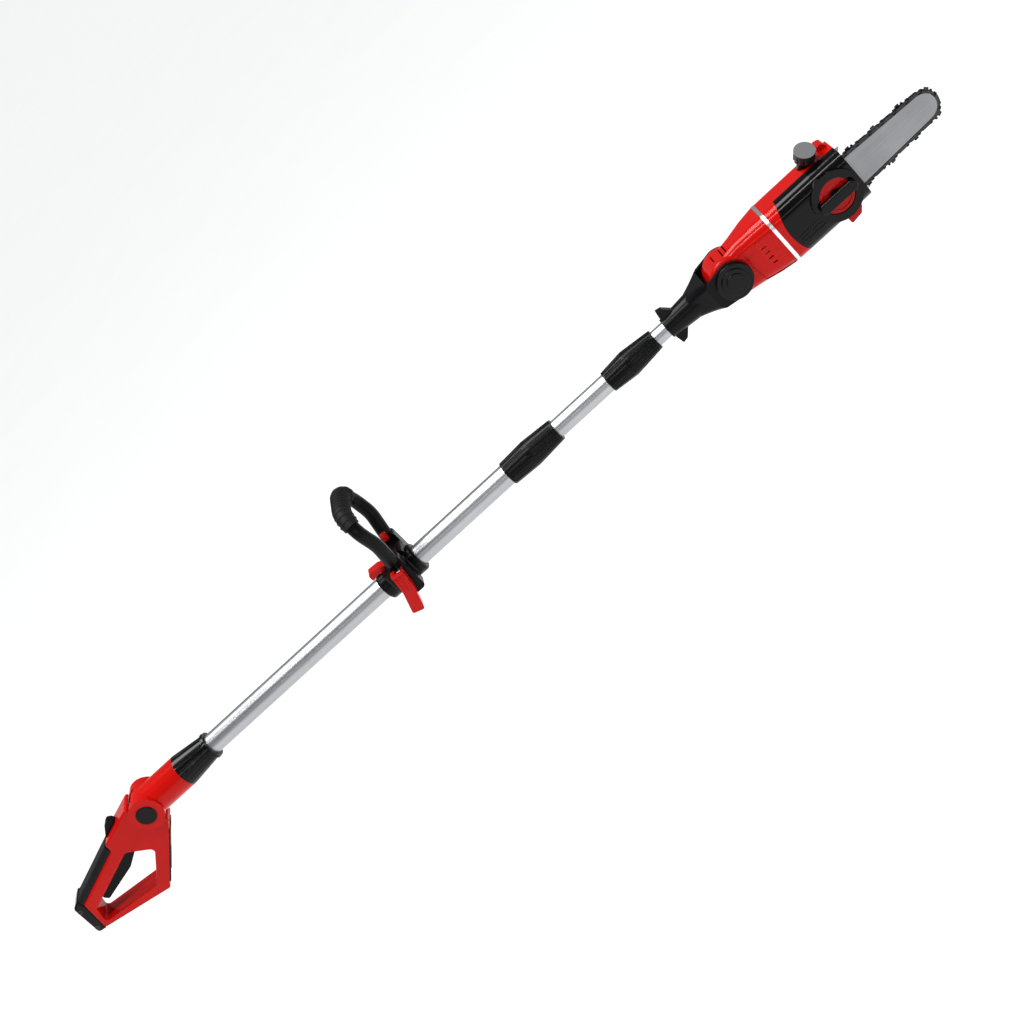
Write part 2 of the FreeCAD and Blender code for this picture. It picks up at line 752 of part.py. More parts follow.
def arm_flat_space():
    """What is cut from the bow's feet so that they lie flat against the clamp"""
    inner = block((bow_bolt_x - 20, -clamp_half_width - moving_gap, bow_foot_height - 14),
                  (bow_bolt_x + 20, clamp_half_width + moving_gap, bow_bolt_height + 16))
    right = block((bow_bolt_x - 20, -stock, bow_foot_height - 14),
                  (bow_bolt_x + 20, -lever_face, bow_bolt_height + 12))
    return group([inner, right, mirrored(right)])


def loop_bow():
    body = swept(bow_path(), bow_tube_radius)
    pads = []
    for side in (-1, 1):
        low, high = sorted((side * (clamp_half_width + moving_gap), side * (lever_face - 0.1)))
        foot = bow_foot_height - 2
        pads.append(slab([(494, foot, 6), (515, foot, 6), (519, 40, 6), (496, 40, 6)], low, high))
    body = fuse_all([body] + pads)
    return body.cut(group([arm_flat_space(), bow_bolt_hole(bow_bolt_radius + seat_gap)]))


def loop_grip():
    """Soft sleeve with bellows rings round the top of the bow and part of both bends"""
    edges = bow_path().OrderedEdges
    middle = len(edges) // 2
    rear, top, front = edges[middle - 1:middle + 2]
    rear_low, rear_high = rear.ParameterRange
    front_low, front_high = front.ParameterRange
    rear_end = rear_high - grip_bend_share * (rear_high - rear_low)
    front_end = front_low + grip_bend_share * (front_high - front_low)
    path = Part.Wire([rear.Curve.toShape(rear_end, rear_high), top,
                      front.Curve.toShape(front_low, front_end)])
    body = swept(path, grip_sleeve_radius)
    rings = []
    places = path.discretize(Number=grip_ring_count + 2)
    for index in range(1, grip_ring_count + 1):
        along = places[index + 1] - places[index - 1]
        rings.append(Part.makeTorus(grip_sleeve_radius - 0.3, grip_ring_radius, places[index], along))
    return fuse_all([body] + rings).cut(swept(bow_path(), bow_tube_radius + seat_gap))


def clamp_body():
    """Split clamp round the pole, with the boss that carries the bow"""
    ring = rod(clamp_radius, (clamp_rear, 0, 0), (clamp_front, 0, 0))
    ends = [edge for edge in ring.Edges if edge.Length > 1.5 * clamp_radius and
            abs(edge.CenterOfMass.x - (clamp_rear + clamp_front) / 2) > 10]
    ring = ring.makeFillet(clamp_edge, ends)
    boss = cross_rod(clamp_boss_radius + 2, bow_bolt_x, bow_bolt_height - 4,
                     -clamp_half_width, clamp_half_width)
    saddle = block((clamp_rear + 14, -clamp_half_width, -10),
                   (clamp_front - 8, clamp_half_width, bow_bolt_height - 2))
    verticals = [edge for edge in saddle.Edges if edge.BoundBox.ZLength > 20]
    saddle = saddle.makeFillet(6.0, verticals)
    hump_outline = [(clamp_rear + 20, 10, 2), (clamp_rear + 22, 26, 4), (clamp_front - 8, 32, 6),
                    (clamp_front - 4, 10, 2)]
    hump = slab(hump_outline, -12.0, 12.0)
    body = fuse_all([ring, boss, saddle, hump])
    bore = rod(outer_tube_radius + moving_gap, (clamp_rear - 1, 0, 0), (clamp_front + 1, 0, 0))
    split = block((clamp_rear - 1, -clamp_split / 2, -stock), (clamp_front + 1, clamp_split / 2, 0))
    tab_way = release_tab_space()
    pin_hole = cross_rod(tab_pin_radius + running_gap, tab_pivot[0], tab_pivot[1], -tab_pin_half - seat_gap,
                         tab_pin_half + seat_gap)
    return body.cut(group([bore, split, bow_bolt_hole(bow_bolt_radius + seat_gap), tab_way, pin_hole]))


def release_tab():
    """Thumb tab of the catch that lets the clamp slide along the pole"""
    heights = [(461, 5, 2), (462, 16, 3), (480, 15, 4), (491, 9, 2), (491, 2, 1.5), (481, 2, 2),
               (474, 7.5, 3)]
    outline = [(x, outer_tube_radius + height, radius) for x, height, radius in heights]
    body = slab(outline, -tab_half_width, tab_half_width)
    return body.cut(cross_rod(tab_pin_radius + running_gap, tab_pivot[0], tab_pivot[1], -stock, stock))


def release_tab_space():
    half = tab_half_width + moving_gap
    return block((clamp_rear - 2, -half, outer_tube_radius + 1.0), (tab_pivot[0] + 6.5, half, stock))


def release_tab_pin():
    return cross_rod(tab_pin_radius, tab_pivot[0], tab_pivot[1], -tab_pin_half, tab_pin_half)


def lever_axis(radius, rear, front):
    """Cylinder along the lever's hinge line"""
    return rod(radius, (bow_bolt_x + rear, lever_pivot_y, bow_bolt_height),
               (bow_bolt_x + front, lever_pivot_y, bow_bolt_height))


def cam_lever():
    """Red lever with ribs and a thumb ridge, lying along the outside of the bow's foot"""
    body = slab([(496.5, 30.5, 2), (513, 27, 2), (506, -6, 4), (494, -36, 3), (478, -30, 3), (490, 0, 4)],
                lever_outer_y, -lever_face - moving_gap)
    ridge = slab([(496.5, 30.5, 1), (513, 27, 1), (512, 22.5, 1), (495.5, 26, 1)],
                 lever_outer_y - 2.5, lever_pivot_y)
    ribs = []
    for index in (-1, 0, 1):
        shift = lever_rib_spacing * index
        upper = (503.5 + shift, lever_outer_y, 24)
        ribs.append(rod(lever_rib_radius, upper, (497.5 + shift, lever_outer_y, 0)))
    body = fuse_all([body, ridge] + ribs)
    eye_room = lever_eye_radius + lever_eye_space
    eye_back = lever_pivot_y - lever_eye_radius - 0.6
    eye_way = cross_rod(eye_room, bow_bolt_x, bow_bolt_height, eye_back, 0)
    swing_way = block((bow_bolt_x - eye_room, eye_back, bow_bolt_height),
                      (bow_bolt_x + eye_room, 0, bow_bolt_height + stock))
    pin_hole = lever_axis(lever_pin_radius + running_gap, -30, 30)
    heel = block((bow_bolt_x - 20, lever_pivot_y, bow_bolt_height),
                 (bow_bolt_x + 20, 0, bow_bolt_height + 20))
    heel = heel.cut(lever_axis(lever_heel_radius, -30, 30))
    return body.cut(group([eye_way, swing_way, pin_hole, heel]))


def lever_pin():
    return lever_axis(lever_pin_radius, -9.0, 5.0)


def bow_bolt():
    """Draw bolt through the clamp and both arms, with an eye for the lever's pin"""
    far = bow_base_half_width + 12
    shank = cross_rod(bow_bolt_radius, bow_bolt_x, bow_bolt_height, lever_pivot_y, far)
    eye = lever_axis(lever_eye_radius, -lever_eye_half, lever_eye_half)
    return fuse_all([shank, eye]).cut(lever_axis(lever_pin_radius + seat_gap, -30, 30))


def bow_nut():
    """Red nut on the far end of the draw bolt, and its red key on the inside of the far arm"""
    start = lever_face + seat_gap
    end = start + bow_nut_height
    body = cross_rod(bow_nut_radius, bow_bolt_x, bow_bolt_height, start, end)
    rim = [edge for edge in body.Edges if edge.BoundBox.YMin > end - 1]
    body = body.makeFillet(2.5, rim)
    body = body.cut(cross_rod(bow_bolt_radius + seat_gap, bow_bolt_x, bow_bolt_height, 0, start + 7.3))
    key = slab([(502, 36.5, 2), (504.5, 49, 3), (513, 49, 3), (511, 36.5, 2)],
               clamp_half_width - 3.2, clamp_half_width + 0.1)
    return group([body, key])


# ---- neck ----
def hook_fin(sign):
    outline = [(966, sign * 10, 1), (969, sign * hook_height, 1.5), (977, sign * hook_height * 0.93, 1.5),
               (989, sign * 13, 1)]
    return slab(outline, -4.5, 4.5)


def neck():
    """Fork on the inner tube that carries the tilting head"""
    sleeve = cone(neck_rear_radius, neck_front_radius, (neck_rear, 0, 0), (neck_sleeve_front, 0, 0))
    flare_sizes = [(990, 12, 12, 8), (neck_sleeve_front, 19, 19, 10), (1037, cheek_outer, 22, 8)]
    flare = Part.makeLoft([section(*size, 0) for size in flare_sizes], True, False)
    cheeks = []
    for side in (-1, 1):
        low, high = sorted((side * cheek_inner, side * cheek_outer))
        disc = cross_rod(cheek_radius, tilt_x, 0, low, high)
        arm = slab([(1034, 19.5, 8), (tilt_x, 24.9, 1), (tilt_x, -24.9, 1), (1034, -19.5, 8)], low, high)
        cheeks += [disc, arm]
    body = fuse_all([sleeve, flare, hook_fin(1), hook_fin(-1)] + cheeks)
    saddle = cross_rod(saddle_radius, tilt_x, 0, -cheek_inner, cheek_inner)
    bore = rod(inner_tube_radius + seat_gap, (neck_rear - 1, 0, 0), (inner_tube_front + seat_gap, 0, 0))
    lead_way = rod(7.0, (inner_tube_front, 0, 0), (tilt_x, 0, 0))
    pin_hole = cross_rod(tilt_bolt_radius + seat_gap, tilt_x, 0, -stock, stock)
    return body.cut(group([saddle, bore, lead_way, pin_hole]))


def tilt_bolt():
    reach = cheek_outer + tilt_nut_height * 0.6
    return cross_rod(tilt_bolt_radius, tilt_x, 0, -cheek_outer - tilt_knob_height * 0.6, reach)


def tilt_knob():
    """Stepped round knob on the right cheek"""
    face = -cheek_outer - moving_gap
    steps = [(1.0, 0.0, 3.4), (0.74, 2.6, 5.4), (0.5, 4.6, 7.0)]
    discs = []
    for share, start, end in steps:
        disc = cross_rod(tilt_knob_radius * share, tilt_x, 0, face - end, face - start)
        rim = [edge for edge in disc.Edges if edge.BoundBox.YMax < face - end + 0.1]
        discs.append(disc.makeFillet(tilt_knob_edge, rim))
    body = fuse_all(discs)
    return body.cut(cross_rod(tilt_bolt_radius + running_gap, tilt_x, 0, face - tilt_knob_height * 0.6, 0))


def tilt_nut():
    face = cheek_outer + seat_gap
    body = cross_rod(tilt_nut_radius, tilt_x, 0, face, face + tilt_nut_height)
    rim = [edge for edge in body.Edges if edge.BoundBox.YMin > face + tilt_nut_height / 2]
    body = body.makeFillet(2.0, rim)
    return body.cut(cross_rod(tilt_bolt_radius + seat_gap, tilt_x, 0, 0, face + tilt_nut_height * 0.6))


def detent_disc():
    """Notched disc on the head that gives its seven positions"""
    outer = cheek_inner - moving_gap
    body = cross_rod(detent_radius, tilt_x, 0, -outer, -outer + detent_thickness)
    notch = cross_rod(1.6, tilt_x, detent_radius, -outer - 1, 0)
    first = -detent_step * (detent_count - 1) / 2
    centre = Vector(tilt_x, 0, 0)
    notches = [turned(notch, centre, y_axis, first + detent_step * index) for index in range(detent_count)]
    bolt_hole = cross_rod(tilt_bolt_radius + running_gap, tilt_x, 0, -stock, stock)
    return body.cut(group(notches)).cut(bolt_hole)


# ---- head housing ----
def head_loft(grow):
    """Outer form of the head, grown or shrunk all round"""
    sizes = [(1050.5 - min(grow, 0), 12, 15, 9), (1056, 19.5, 24, 13), (1066, 23, 29, 15),
             (1080, cheek_zone_half_width, 32, 16), (1095, cheek_zone_half_width + 1.2, 34.5, 17),
             (1118, 31.5, 37.5, 19), (1140, head_half_width - 0.6, 39.2, 21),
             (1165, head_half_width, head_half_height, 22), (1215, head_half_width, head_half_height, 22),
             (head_front, head_half_width - 1, head_half_height - 1, 22)]
    wires = [section(x, width + grow, height + grow, corner + grow) for x, width, height, corner in sizes]
    return Part.makeLoft(wires, True, True)


def cover_outline(clearance):
    """Side outline of the sprocket cover, with its rear edge bowed backwards"""
    rear = cover_rear - clearance
    corner = cover_rear_corner - clearance
    top = Vector(corner, 0, head_z + stock / 3)
    bottom = Vector(corner, 0, head_z - stock / 3)
    upper = Vector(corner, 0, head_z + head_half_height)
    lower = Vector(corner, 0, head_z - head_half_height)
    front_top = Vector(cover_front + 1, 0, top.z)
    front_bottom = Vector(cover_front + 1, 0, bottom.z)
    edges = [Part.LineSegment(bottom, lower).toShape(),
             Part.Arc(lower, Vector(rear, 0, head_z), upper).toShape(),
             Part.LineSegment(upper, top).toShape(),
             Part.LineSegment(top, front_top).toShape(),
             Part.LineSegment(front_top, front_bottom).toShape(),
             Part.LineSegment(front_bottom, bottom).toShape()]
    return Part.Face(Part.Wire(edges))


def cover_region(clearance):
    face = cover_outline(clearance)
    face.translate(Vector(0, -stock, 0))
    return face.extrude(Vector(0, stock + deck_y, 0))


def vent_slots():
    """Three slots across the top of the rear end and four short ones in each side panel"""
    slots = []
    for x, half_length in [(1083.2, 12.0), (1077.0, 12.5), (1064.0, 9.5)]:
        slots.append(block((x - 0.9, -half_length, 20.0), (x + 0.9, half_length, stock)))
    for index in range(4):
        z = 6.5 - 8.2 * index
        slots.append(block((1116.5, -stock, z - 0.9), (1123.0, stock, z + 0.9)))
    return group(slots)


def panel_recess(outer):
    """Shallow step that sets the lower side panel back"""
    skin = outer.cut(head_loft(-panel_depth))
    outline = [(1139, 19.5, 2), (1115, 19.5, 3), (1105, 9, 3), (1093, 9, 2), (1098, -34, 2), (1139, -40, 2)]
    region = slab(outline, -stock, stock)
    return skin.common(region)


def tilt_barrel():
    """Rounded rear end of the housing, between the neck's cheeks"""
    body = cross_rod(barrel_radius, tilt_x, 0, -cheek_zone_half_width, cheek_zone_half_width)
    return body.makeFillet(barrel_edge, [edge for edge in body.Edges if edge.Length > barrel_radius])


def housings():
    outer = head_loft(0)
    body = outer.cut(panel_recess(outer)).fuse(tilt_barrel())
    hollow = head_loft(-head_wall)
    deck = block((compartment_rear, deck_y - moving_gap, -stock), (head_front + 1, deck_y + deck_wall, stock))
    deck_front = block((head_front - head_wall, deck_y - moving_gap, -stock), (head_front + 1, stock, stock))
    rear_wall = block((compartment_rear, -stock, -stock),
                      (compartment_rear + head_wall, deck_y + deck_wall, stock))
    walls = group([deck, deck_front, rear_wall])
    body = body.cut(hollow.cut(walls))
    knuckle = cross_rod(12.0, tilt_x, 0, -cheek_zone_half_width + 1, cheek_zone_half_width - 1)
    low, high = head_z - 11, head_z + 11
    bar_pad = slab([(1214, low, 3), (1214, high, 3), (1252, high, 3), (1252, low, 3)],
                   bar_y + bar_thickness / 2 + running_gap, deck_y)
    ring_groove = band_blank(band_proud + seat_gap, band_depth + seat_gap, seat_gap)
    body = fuse_all([body, knuckle])
    cuts = [cover_region(moving_gap), vent_slots(), ring_groove, housing_holes()]
    body = body.cut(group(cuts))
    right = body.common(block((1000, -stock, -stock), (1300, -seat_gap / 2, stock)))
    right = right.fuse(bar_pad).cut(group([stud_hole(), bearing_hole()])).removeSplitter()
    left = body.common(block((1000, seat_gap / 2, -stock), (1300, stock, stock)))
    left = left.fuse(oil_fairing()).cut(oil_neck_hole()).removeSplitter()
    return right.cut(oil_neck_hole()), left


def oil_fairing():
    """Raised red fairing over the tank, beside the filler cap"""
    body = slab([(1243, 30, 1), (1246, 44, 4), (1256, 41, 4), (1260, 24, 1)], 4.0, 24.0)
    tops = [edge for edge in body.Edges if edge.CenterOfMass.z > 35 and edge.BoundBox.YLength < 0.01]
    body = body.makeFillet(1.5, tops)
    return body.cut(head_loft(-head_wall / 2))


def housing_holes():
    pin_hole = cross_rod(tilt_bolt_radius + running_gap, tilt_x, 0, -stock, stock)
    seat_end = -cheek_inner + moving_gap + detent_thickness + seat_gap
    disc_seat = cross_rod(detent_radius + seat_gap, tilt_x, 0, -cheek_inner, seat_end)
    return group([pin_hole, disc_seat])


def band_blank(proud, depth, clearance):
    shell = head_loft(proud).cut(head_loft(-depth))
    region = block((band_rear - clearance, -stock, -stock),
                   (band_rear + band_width + clearance, stock, stock))
    return shell.common(region)


def stud_hole():
    return cross_rod(stud_radius + seat_gap, stud_x, head_z, -stock, 0)


def bearing_hole():
    return cross_rod(bearing_radius + seat_gap, sprocket_x, head_z, deck_y - 1, deck_y + deck_wall + 1)


def motor():
    body = rod(motor_radius, (motor_rear, 0, head_z), (motor_front, 0, head_z))
    ends = [edge for edge in body.Edges if edge.BoundBox.XLength < 0.01]
    body = body.makeFillet(2.0, ends)
    boss = rod(8.0, (motor_front - 1, 0, head_z), (motor_front + 3, 0, head_z))
    rear_boss = rod(7.0, (motor_rear - 5, 0, head_z), (motor_rear + 1, 0, head_z))
    body = fuse_all([body, boss, rear_boss])
    shaft_hole = rod(rotor_shaft_radius + running_gap, (motor_rear + 20, 0, head_z),
                     (motor_front + stock, 0, head_z))
    return body.cut(shaft_hole)


def gear_bulkhead():
    """Plate across the housing that carries the motor and the inner shaft bearing"""
    front = motor_front + bulkhead_thickness
    slice_space = block((motor_front + seat_gap, -stock, -stock), (front, stock, stock))
    plate = head_loft(-head_wall - seat_gap).common(slice_space)
    holder_low = bearing_holder_y
    holder_half = bearing_radius + 2
    arm = block((front - 1, holder_low, head_z - holder_half),
                (sprocket_x + bearing_radius + 3, holder_low + bearing_width + 2, head_z + holder_half))
    body = plate.fuse(arm).removeSplitter()
    shaft_hole = rod(8.0 + seat_gap, (motor_front - 1, 0, head_z), (front + 5, 0, head_z))
    seat = cross_rod(bearing_radius + seat_gap, sprocket_x, head_z,
                     holder_low - 1, holder_low + bearing_width)
    return body.cut(group([shaft_hole, seat])).cut(cross_rod(6.0, sprocket_x, head_z, 0, stock))


def ring_bearing(y_low):
    return cross_rod(bearing_radius, sprocket_x, head_z, y_low, y_low + bearing_width).cut(
        cross_rod(sprocket_shaft_radius + running_gap, sprocket_x, head_z, -stock, stock))


def shaft_bearings():
    return group([ring_bearing(deck_y - 0.2), ring_bearing(bearing_holder_y - seat_gap)])


def motor_pinion():
    """Motor shaft with its small toothed pinion"""
    shaft = rod(rotor_shaft_radius, (motor_rear + 24, 0, head_z), (1170, 0, head_z))
    wheel = rod(pinion_radius, (1158, 0, head_z), (1169, 0, head_z))
    groove = rod(0.7, (1157, 0, head_z + pinion_radius), (1170, 0, head_z + pinion_radius))
    centre = Vector(0, 0, head_z)
    grooves = [turned(groove, centre, x_axis, 360.0 * index / pinion_teeth) for index in range(pinion_teeth)]
    return shaft.fuse(wheel).removeSplitter().cut(group(grooves))


def drive_gear():
    """Face gear driven by the motor's pinion"""
    body = cross_rod(gear_radius, sprocket_x, head_z, gear_face, gear_face + gear_thickness)
    groove = rod(gear_groove_radius, (sprocket_x + gear_inner_radius, gear_face, head_z),
                 (sprocket_x + stock, gear_face, head_z))
    centre = Vector(sprocket_x, 0, head_z)
    grooves = [turned(groove, centre, y_axis, 360.0 * index / gear_teeth) for index in range(gear_teeth)]
    shaft_hole = cross_rod(sprocket_shaft_radius + seat_gap, sprocket_x, head_z, 0, stock)
    return body.cut(group(grooves)).cut(shaft_hole)


def sprocket_shaft():
    body = cross_rod(sprocket_shaft_radius, sprocket_x, head_z, bar_y - 6, 21.0)
    flange = cross_rod(6.5, sprocket_x, head_z, -5.5, -3.0)
    return body.fuse(flange).removeSplitter()


def star(radius, depth, teeth, x, y_low, y_high):
    """Wheel with a round notch between each pair of teeth"""
    body = cross_rod(radius, x, head_z, y_low, y_high)
    notch = cross_rod(depth, x, head_z + radius, y_low - 1, y_high + 1)
    centre = Vector(x, 0, head_z)
    return body.cut(group([turned(notch, centre, y_axis, 360.0 * index / teeth) for index in range(teeth)]))


def drive_sprocket():
    half = chain_thickness / 2 + 0.6
    body = star(sprocket_tip_radius, 3.4, sprocket_teeth, sprocket_x, bar_y - half, bar_y + half)
    return body.cut(cross_rod(sprocket_shaft_radius + seat_gap, sprocket_x, head_z, -stock, stock))


# ---- bar and chain ----
def belt_outline(spread, rear_x, rear_radius):
    """Closed outline a distance outside the bar's edge, round a rear circle at its tail or the sprocket"""
    front_radius = nose_radius + spread
    shoulder = bar_shoulder_half_height + spread
    to_nose = hypot(nose_x - bar_shoulder_x, shoulder)
    to_rear = hypot(bar_shoulder_x - rear_x, shoulder)
    nose_angle = atan2(shoulder, bar_shoulder_x - nose_x) - acos(front_radius / to_nose)
    rear_angle = atan2(shoulder, bar_shoulder_x - rear_x) + acos(rear_radius / to_rear)

    def at(x, radius, angle):
        return Vector(x + radius * cos(angle), 0, head_z + radius * sin(angle))

    def below(point):
        return Vector(point.x, 0, 2 * head_z - point.z)

    rear_top = at(rear_x, rear_radius, rear_angle)
    nose_top = at(nose_x, front_radius, nose_angle)
    top = Vector(bar_shoulder_x, 0, head_z + shoulder)
    return [Part.LineSegment(rear_top, top).toShape(),
            Part.LineSegment(top, nose_top).toShape(),
            Part.Arc(nose_top, at(nose_x, front_radius, 0), below(nose_top)).toShape(),
            Part.LineSegment(below(nose_top), below(top)).toShape(),
            Part.LineSegment(below(top), below(rear_top)).toShape(),
            Part.Arc(below(rear_top), at(rear_x, rear_radius, pi), rear_top).toShape()]


def belt_slab(spread, rear_x, rear_radius, y_low, y_high):
    face = Part.Face(Part.Wire(belt_outline(spread, rear_x, rear_radius)))
    face.translate(Vector(0, y_low, 0))
    return face.extrude(Vector(0, y_high - y_low, 0))


def guide_bar():
    body = belt_slab(0, bar_tail_x + bar_tail_half_height, bar_tail_half_height,
                     bar_y - bar_thickness / 2, bar_y + bar_thickness / 2)
    slot = slab([(stud_x - 14, head_z - stud_radius - 0.3, 4), (stud_x - 14, head_z + stud_radius + 0.3, 4),
                 (stud_x + 12, head_z + stud_radius + 0.3, 4), (stud_x + 12, head_z - stud_radius - 0.3, 4)],
                -stock, stock)
    pocket_half = nose_sprocket_half + nose_side_gap
    pocket = cross_rod(nose_sprocket_radius + moving_gap, nose_x, head_z,
                       bar_y - pocket_half, bar_y + pocket_half)
    body = body.cut(group([slot, pocket]))
    rivet_half = pocket_half + 0.05
    rivet = cross_rod(nose_rivet_radius, nose_x, head_z, bar_y - rivet_half, bar_y + rivet_half)
    return body.fuse(rivet)


def nose_sprocket():
    wheel = star(nose_sprocket_radius, 1.6, nose_sprocket_teeth, nose_x,
                 bar_y - nose_sprocket_half, bar_y + nose_sprocket_half)
    return wheel.cut(cross_rod(nose_rivet_radius + running_gap, nose_x, head_z, -stock, stock))


def saw_chain():
    """Chain as one closed band of links, with a cutter on every fourth link"""
    side = chain_thickness / 2
    inner_spread = chain_gap
    outer_spread = chain_gap + chain_height
    inner_radius = sprocket_tip_radius + moving_gap
    outer_radius = inner_radius + chain_height
    outer = belt_slab(outer_spread, sprocket_x, outer_radius, bar_y - side, bar_y + side)
    inner = belt_slab(inner_spread, sprocket_x, inner_radius, -stock, stock)
    body = outer.cut(inner)
    rim = Part.Wire(belt_outline(outer_spread, sprocket_x, outer_radius))
    places = rim.discretize(Number=link_count + 1)
    cutters = []
    for index in range(0, link_count, links_per_cutter):
        here = places[index]
        run = places[index + 1] - places[index - 1 if index else link_count - 1]
        tooth = block((-cutter_length / 2, bar_y - side, -cutter_root),
                      (cutter_length / 2, bar_y + side, cutter_height))
        tooth.rotate(Vector(0, 0, 0), y_axis, -degrees(atan2(run.z, run.x)))
        tooth.translate(here)
        cutters.append(tooth)
    notches = []
    for index in range(link_count):
        middle = (places[index] + places[index + 1]) * 0.5
        notches.append(cross_rod(link_notch_radius, middle.x, middle.z, -stock, stock))
    body = body.cut(group(notches))
    return fuse_all([body] + cutters)


def bar_stud():
    return cross_rod(stud_radius, stud_x, head_z, -boss_face() - 1.0, deck_y + deck_wall)


def boss_face():
    return head_half_width + boss_height


# ---- sprocket cover ----
def sprocket_cover():
    region = cover_region(0)
    outer = head_loft(0).common(region)
    outer = outer.cut(block((cover_rear - 20, deck_y - moving_gap, -stock), (cover_front + 10, stock, stock)))
    boss = cross_rod(boss_radius, stud_x, head_z, -boss_face(), -head_half_width + 4)
    body = outer.fuse(boss)
    hollow = head_loft(-cover_wall).common(cover_region(-cover_wall))
    rim_ring = cross_rod(9.0, stud_x, head_z, -head_half_width, bar_y - bar_thickness / 2 - 0.1)
    hollow = hollow.cut(rim_ring)
    dish = cross_rod(ring_radius + ring_rim + 0.5, stud_x, head_z, -boss_face() - 1, -boss_face() + boss_dish)
    chain_half = bar_shoulder_half_height + chain_gap + chain_height + cutter_height + 2
    front_way = block((cover_front - 20, bar_y - chain_thickness / 2 - 1.5, head_z - chain_half),
                      (cover_front + 10, 0, head_z + chain_half))
    grooves = []
    for index in range(cover_groove_count):
        z = head_z - 8 - cover_groove_spacing * index
        rear_end = (cover_rear + 6, -head_half_width, z)
        front_end = (stud_x - boss_radius - 1 + 2.2 * index, -head_half_width, z)
        grooves.append(rod(cover_groove_radius, rear_end, front_end))
    stud_way = cross_rod(stud_radius + moving_gap, stud_x, head_z, -stock, stock)
    return body.cut(group([hollow, dish, front_way] + grooves)).cut(stud_way)


def tension_ring():
    face = -boss_face() + boss_dish - moving_gap
    body = cross_rod(ring_radius + ring_rim, stud_x, head_z, face - ring_height, face)
    dish = cross_rod(ring_radius, stud_x, head_z, face - ring_height - 1, face - ring_height + ring_dish)
    hub_way = cross_rod(knob_hub_radius + moving_gap, stud_x, head_z, -stock, stock)
    return body.cut(group([dish, hub_way]))


def cover_knob():
    """Bar-shaped turn knob that clamps the cover and bar"""
    base = -boss_face() + boss_dish - 2 * moving_gap - ring_height + ring_dish
    half_length = cover_knob_length / 2
    half_width = cover_knob_width / 2
    corners = [(-1, -1), (-1, 1), (1, 1), (1, -1)]
    outline = [(stud_x + a * half_length, head_z + b * half_width, half_width - 1) for a, b in corners]
    bar = slab(outline, base - cover_knob_height, -boss_face() - moving_gap)
    top = [edge for edge in bar.Edges if edge.BoundBox.YMax < base - cover_knob_height + 0.1]
    bar = bar.makeFillet(2.5, top)
    hub = cross_rod(knob_hub_radius, stud_x, head_z, base - 4, -boss_face() + boss_dish - moving_gap)
    foot = cross_rod(knob_foot_radius, stud_x, head_z, -boss_face() - moving_gap - 0.5, base)
    body = fuse_all([bar, hub, foot])
    return body.cut(cross_rod(stud_radius + running_gap, stud_x, head_z, -boss_face() - 1.2, 0))


def spike_bumper():
    """Thin plate with spikes that rests against the branch"""
    rear, waist, tip = head_front - 5, head_front + 2, head_front + 6.5
    outline = [(rear, head_z - 36, 1), (tip, head_z - 36, 0.5), (waist, head_z - 31, 0.5),
               (waist, head_z + 29, 0.5), (tip, head_z + 33, 0.5), (rear, head_z + 33, 1)]
    return slab(outline, -9.0, -6.5).cut(head_loft(0.1))


def branch_hook():
    root = head_z - 30
    outline = [(1219, root, 1), (1220.5, -60, 2), (1237, -57.5, 3), (1243, -50, 2), (1247, root, 1)]
    return slab(outline, -11.0, -5.0).cut(head_loft(0.1))


def oil_line(distance):
    run = Vector(*oil_cap_axis).normalize()
    return Vector(oil_neck_x, oil_neck_y, oil_neck_z) + run * distance


def oil_rod(radius, start, end):
    return rod(radius, tuple(oil_line(start)), tuple(oil_line(end)))


def oil_neck_hole():
    return oil_rod(oil_neck_radius + seat_gap, -4, oil_neck_length + 30)


def oil_tank():
    """Tank in the top of the housing, with its filler neck"""
    body = block((1196, 1.0, 16), (1252, 24, head_z + head_half_height - head_wall - 3.2))
    body = body.makeFillet(3.0, body.Edges)
    body = body.fuse(oil_rod(oil_neck_radius, 0, oil_neck_length)).removeSplitter()
    return body.cut(oil_rod(oil_neck_radius - oil_neck_wall, 2, oil_neck_length + 1))


def oil_cap():
    """Lobed filler cap"""
    start = oil_neck_length + moving_gap
    body = oil_rod(oil_cap_radius, start, start + oil_cap_height)
    centre = oil_line(0)
    run = Vector(*oil_cap_axis).normalize()
    side = run.cross(y_axis).normalize()
    groove_start = oil_line(start - 1) + side * (oil_cap_radius + 1.6)
    groove_end = oil_line(start + oil_cap_height - 3.0) + side * (oil_cap_radius + 1.6)
    groove = rod(oil_cap_groove, tuple(groove_start), tuple(groove_end))
    grooves = [turned(groove, centre, run, 360.0 * index / oil_cap_lobes) for index in range(oil_cap_lobes)]
    body = body.cut(group(grooves))
    plug = oil_rod(oil_neck_radius - oil_neck_wall - moving_gap, start - 8, start + 1)
    return body.fuse(plug).removeSplitter()


# ---- assembly ----
def swivel_pin():
    return cross_rod(swivel_pin_radius, 0, 0, -hub_half_width, hub_half_width)


